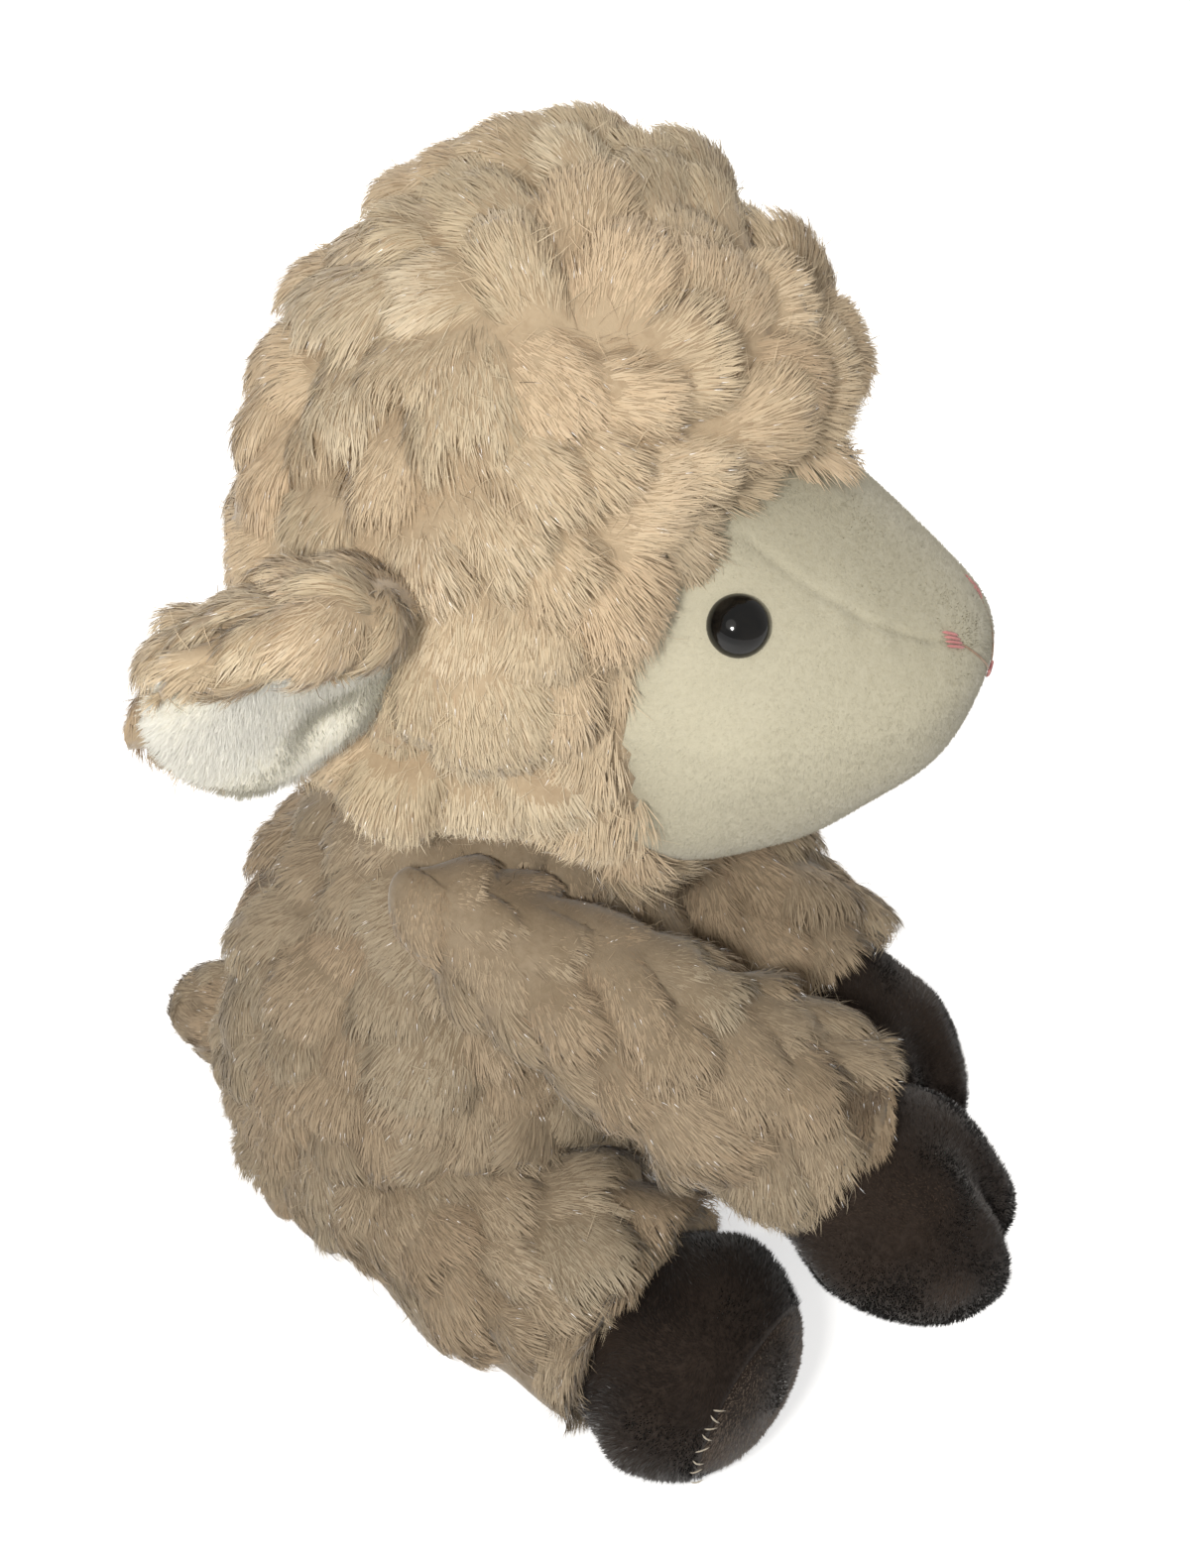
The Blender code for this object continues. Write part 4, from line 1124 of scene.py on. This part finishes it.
def seamed(skin):
    """The face drawn in along its seams, with small puckers beside them."""
    local = moved(skin.points, MUZZLE_PLACE.inverted())
    turn, radius = brow_turn(local), np.hypot(local[:, 0], local[:, 1])
    wide = np.radians(turn - np.interp(local[:, 2] / MM, SEAM_REACH, SEAM_TURNS)) * radius
    chin = np.radians(turn - CHIN_TURN) * radius
    pucker = 0.5 + 0.5 * ripple(local, 5 * MM, 77, 8)

    def groove(deep, distance, width):
        return deep * np.exp(-((distance / width) ** 2))

    depth = groove(0.35 * MM, wide, 0.8 * MM) + groove(0.35 * MM * pucker, wide, 3.5 * MM)
    depth *= smooth_step(32 * MM, 42 * MM, local[:, 2])
    depth += groove(0.4 * MM, chin, 0.8 * MM)
    depth *= 1 - smooth_step(70 * MM, 79 * MM, local[:, 2])
    soft = 0.5 * MM * ripple(local, 28 * MM, 78)
    return reshaped(skin, skin.points + skin.normals * (soft - depth)[:, None])


def build_face(muzzle):
    face = seamed(skin_of(MUZZLE, 110, 260, share_at(MUZZLE, 14 * MM)))
    panels = ("face_bridge", "face_cheek_left", "face_cheek_right")
    finished(skin_object("face_cloth", face, FACE_CLOTH), "head", panels)
    flow = steady([0.0, 0.6, -0.6])

    def bare(points, _):
        return round_face(points) < 6

    short_pile("face_pile", "head", face, FACE_NAP, FACE_PILE, 31, flow, bare)
    build_nose(muzzle)
    eye_plastic, washer_plastic = eye_material(), washer_material()
    for name, side in SIDES.items():
        build_eye(name, side, eye_plastic)
        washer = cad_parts["eye_washer_" + name]
        washer.data.materials.clear()
        washer.data.materials.append(washer_plastic)


def build_eye(name, side, material):
    """The glossy dome of a safety eye. Its lower half lies inside the face."""
    seat = Vector((side * 31.72, -37.28, 166.98)) * MM
    out = Vector((side * 0.7032, -0.2510, 0.6652))
    place = Matrix.Translation(seat) @ out.to_track_quat("Z", "Y").to_matrix().to_4x4()
    form = Form(place, low=-3.2 * MM, high=4.9 * MM, half_width=5.2 * MM, half_depth=5.2 * MM)
    eye = skin_object("eye_dome_" + name, skin_of(form, 28, 48), material)
    finished(eye, "head", replaced=("eye_" + name,))


def build_nose(muzzle):
    """A small nose of satin stitches, with a short bar at the end of each seam. Its sizes are in mm."""
    tree = tree_of(muzzle)
    inward = MUZZLE_PLACE.to_3x3() @ Vector(DOWN)

    def laid(start, end, arch=0.2, steps=7):
        run = []
        for step in np.linspace(0, 1, steps):
            x, y = (a + (b - a) * step for a, b in zip(start, end))
            hit = tree.ray_cast(MUZZLE_PLACE @ Vector((x * MM, y * MM, 200 * MM)), inward)
            run.append(numbers(hit[0] + hit[1] * (arch * math.sin(math.pi * step) + 0.2) * MM))
        return run

    runs = []
    for share in np.linspace(-1, 1, 7):
        runs.append(laid((1.8 * share, 9.2), (1.2 * share, 6.8 + 1.8 * abs(share))))
    for side in (-1, 1):
        for k in range(4):
            end = (side * (8.4 - 0.1 * k), 15.8 + 0.5 * k)
            runs.append(laid((side * (11.6 - 0.4 * k), 16.9 + 0.5 * k), end))
    nose = threads_object("nose_stitches", runs, 0.28 * MM, NOSE_THREAD)
    finished(nose, "head", replaced=("nose_stitching",))
    # Thin brownish threads from the bars towards the middle: partly stitches, partly painted shade of the
    # seams' crease.
    lines = [laid((side * 8.6, 16.4), (side * 1.2, 9.0), -0.05, 11) for side in (-1, 1)]
    finished(threads_object("nose_line", lines, 0.2 * MM, NOSE_LINE_STITCH_AND_SHADE), "head")


# ---------------------------------------------------------------- ears and tail

EAR_HALF_WIDTH, EAR_CUP = 19 * MM, 6 * MM
EAR_MIDDLE, EAR_REACH = 18 * MM, 23 * MM
EAR_DEPTH, LINING_DEPTH, EAR_INSET = 12 * MM, 7.5 * MM, 1.5 * MM
EAR_SWELL = ((-1.0, 1.0, 1.0), (-0.4, 1.0, 1.0), (0.5, 1.12, 1.05), (1.0, 1.2, 1.0))
EAR_RINGS, EAR_COLUMNS = 44, 40
EAR_WOOL = WOOL._replace(
    spacing=8 * MM, long=15 * MM, half_width=6.5 * MM, height=3 * MM, strand=4.4 * MM
)
TAIL_WOOL = EAR_WOOL._replace(height=2 * MM, strand=3.4 * MM)


def ear_matrix(side):
    out = Vector((side * 0.76, 0.62, -0.16)).normalized()
    face = Vector((side * 0.60, -0.75, -0.25))
    face = (face - out * face.dot(out)).normalized()
    stand = Matrix(((-face).cross(out), -face, out)).transposed().to_4x4()
    return Matrix.Translation((side * 53.58 * MM, 13.18 * MM, 159.45 * MM)) @ stand


def cupped(across):
    """Where the halves of an ear meet, across it."""
    return -EAR_CUP * (across / EAR_HALF_WIDTH) ** 2


def ear_skin(depth, way, place):
    """One half of an ear: domed outside, and flat where the halves meet."""
    turns = math.pi * np.arange(EAR_COLUMNS + 1) / EAR_COLUMNS
    loops = []
    for ring in range(1, EAR_RINGS):
        share = math.sin(math.pi * (ring / EAR_RINGS - 0.5))
        wide, deep = (value[0] for value in eased(EAR_SWELL, np.array([share])))
        radius = math.sqrt(1 - share * share)
        across = EAR_HALF_WIDTH * wide * radius * np.cos(turns)
        dome = way * depth * deep * radius * np.sin(turns)
        height = np.full(len(turns), EAR_MIDDLE + EAR_REACH * share)
        domed = np.stack([across, dome + cupped(across), height], axis=1)
        back = domed[1:-1][::-1].copy()
        back[:, 1] = cupped(back[:, 0]) + way * 0.1 * MM
        loops.append(np.concatenate([domed, back]))
    points, quads, fans = lofted(loops, [0, 0, EAR_MIDDLE - EAR_REACH], [0, 0, EAR_MIDDLE + EAR_REACH])
    if way < 0:
        quads, fans = quads[:, ::-1], fans[:, ::-1]
    return closed_skin(moved(points, place), quads, fans)


def build_ear(name, side, seed):
    """An ear's woolly outer half, the roll along its upper rim, and its lining with a dent."""
    place = ear_matrix(side)
    inverse = place.inverted()
    body = f"ear_{name}"
    flow = steady(numbers(place)[:3, 2] + np.array([0, 0, -0.35]))

    def off_middle(points):
        local = moved(points, inverse)
        return local[:, 1] - cupped(local[:, 0])

    def outside(points, _):
        return off_middle(points) > 0.6 * MM

    def inside(points, _):
        return off_middle(points) < -0.3 * MM

    outer = ear_skin(EAR_DEPTH, 1, place)
    drawn_in = EAR_INSET * outside(outer.points, None)
    outer = reshaped(outer, outer.points - outer.normals * drawn_in[:, None])
    locks = lay_locks(outer, EAR_WOOL, flow, seed, outside)
    backed(f"ear_backing_{name}", body, outer, locks, HEAD_BACKING, (f"ear_outer_{name}",))
    grow(f"ear_wool_{name}", body, outer, locks, EAR_WOOL, HEAD_WOOL, seed, outside)
    build_ear_roll(name, side, place, seed + 3)

    inner = ear_skin(LINING_DEPTH, -1, place)
    front = inside(inner.points, None)
    dent = moved(inner.points, inverse)
    off_dent = (dent[:, 0] - side * 9 * MM) ** 2 + (dent[:, 2] - 14 * MM) ** 2
    dent[:, 1] += np.where(front, 2.4 * MM * np.exp(-off_dent / (2 * (4 * MM) ** 2)), 0)
    inner = reshaped(inner, moved(dent, place))
    lining = skin_object(f"ear_lining_cloth_{name}", inner, EAR_CLOTH)
    finished(lining, body, (f"ear_lining_{name}",))
    pile = f"ear_lining_pile_{name}"
    short_pile(pile, body, inner, EAR_NAP, EAR_PILE, seed + 5, flow, inside)


def build_ear_roll(name, side, place, seed):
    """The wool that rolls forward over the upper rim of an ear."""
    steps = np.linspace(-1, 1, 33)
    height = 20.5 * MM + 19.5 * MM * steps
    across = -side * (21 * MM * np.sqrt(1 - 0.8 * steps**2) - 1.5 * MM)
    middle = np.stack([across, cupped(across) - 2.2 * MM, height], axis=1)
    skin = closed_skin(*tube(moved(middle, place), 4.8 * MM * (1 - 0.3 * steps), 28, 2))
    axes = numbers(place)[:3, :3]
    flow = steady(axes[:, 2] * 0.7 + side * axes[:, 0] * 0.9 - 0.2 * axes[:, 1])
    locks = lay_locks(skin, EAR_WOOL, flow, seed)
    body = f"ear_{name}"
    backed(f"ear_roll_backing_{name}", body, skin, locks, HEAD_BACKING)
    grow(f"ear_roll_wool_{name}", body, skin, locks, EAR_WOOL, HEAD_WOOL, seed + 1)


def build_tail():
    place = Matrix.Translation((0, 40.62 * MM, 20 * MM)) @ turn_about("X", -110)
    form = Form(place, low=-8 * MM, high=18 * MM, half_width=9 * MM, half_depth=9 * MM)
    skin = skin_of(form, 30, 48)
    flow = steady(numbers(place)[:3, 2] + np.array([0, 0.2, 0.3]))
    locks = lay_locks(skin, TAIL_WOOL, flow, 60)
    backed("tail_backing", "tail", skin, locks, BODY_BACKING, ("tail",))

    def outside(points, _):
        return ~within(TORSO, points)

    grow("tail_wool", "tail", skin, locks, TAIL_WOOL, BODY_WOOL, 61, outside)


# ---------------------------------------------------------------- stage, light and camera

FLOOR_SIZE = 12.0
FLOOR_GLOW, WORLD_LIGHT = 0.6, 0.45


def build_stage():
    """A pale floor that keeps its shadow, in a plain bright room."""
    material, nodes, shader = plain_material("studio_floor")
    path = nodes.add("ShaderNodeLightPath").outputs
    mirrored = nodes.sum("MAXIMUM", path["Is Glossy Ray"], path["Is Transmission Ray"])
    glow = nodes.sum("MULTIPLY", nodes.sum("MAXIMUM", path["Is Camera Ray"], mirrored), FLOOR_GLOW)
    nodes.into(shader, {"Base Color": (0.92, 0.92, 0.92, 1), "Roughness": 0.9})
    nodes.into(shader, {"Emission Color": WHITE, "Emission Strength": glow})
    corners = FLOOR_SIZE * np.array([[-1, -1, 0], [1, -1, 0], [1, 1, 0], [-1, 1, 0]])
    mesh_object("studio_floor", corners, [np.array([[0, 1, 2, 3]])], material, False)

    world = bpy.data.worlds.new("studio_world")
    bpy.context.scene.world = world
    world.use_nodes = True
    nodes = Shading(world.node_tree)
    path = nodes.add("ShaderNodeLightPath").outputs
    seen = nodes.sum("MAXIMUM", path["Is Camera Ray"], path["Is Transmission Ray"])
    strength = nodes.spread(seen, 0.0, 1.0, WORLD_LIGHT, 1.0)
    background = world.node_tree.nodes["Background"]
    nodes.into(background, {"Color": (1.0, 0.985, 0.96, 1), "Strength": strength})


def lamp(name, place, aim, size, power, tint=(1.0, 0.96, 0.90)):
    data = bpy.data.lights.new(name, "AREA")
    data.shape = "DISK"
    data.size = size
    data.energy = power
    data.color = tint
    obj = bpy.data.objects.new(name, data)
    bpy.context.scene.collection.objects.link(obj)
    obj.location = place
    obj.rotation_euler = (Vector(aim) - Vector(place)).to_track_quat("-Z", "Y").to_euler()


def build_lights():
    flash = (1.0, 0.98, 0.94)
    lamp("flash_lamp", (-0.39, -0.02, 0.35), (0, -0.01, 0.13), size=0.05, power=1.25, tint=flash)
    lamp("room_lamp", (-0.9, 0.15, 0.8), (0, 0, 0.16), size=0.6, power=0.8)
    lamp("back_lamp", (0.75, 0.4, 0.65), (0, 0, 0.12), size=0.7, power=5.0)


def build_camera():
    """The camera that was fitted to the photograph, which is held at a slant."""
    data = bpy.data.cameras.new("photo_camera")
    data.sensor_fit = "HORIZONTAL"
    data.sensor_width = 36
    data.lens = 73.5
    data.clip_start = 0.01
    camera = bpy.data.objects.new("photo_camera", data)
    bpy.context.scene.collection.objects.link(camera)
    aim, distance = Vector((0, -16 * MM, 104.9 * MM)), 450 * MM
    back = Vector((-0.799, -0.127, 0.588)).normalized()
    level = Vector((0.156, -0.988, 0)).normalized()
    roll = math.radians(14)
    right = level * math.cos(roll) + back.cross(level) * math.sin(roll)
    matrix = Matrix((right, back.cross(right), back)).transposed().to_4x4()
    matrix.translation = aim + back * distance
    camera.matrix_world = matrix
    bpy.context.scene.camera = camera


build_torso()
for seed, limb in LIMBS.items():
    build_limb(limb, seed)
build_head()
build_ear("left", 1, 41)
build_ear("right", -1, 51)
build_tail()
build_stage()
build_lights()
build_camera()
bpy.context.scene.view_settings.view_transform = "Standard"
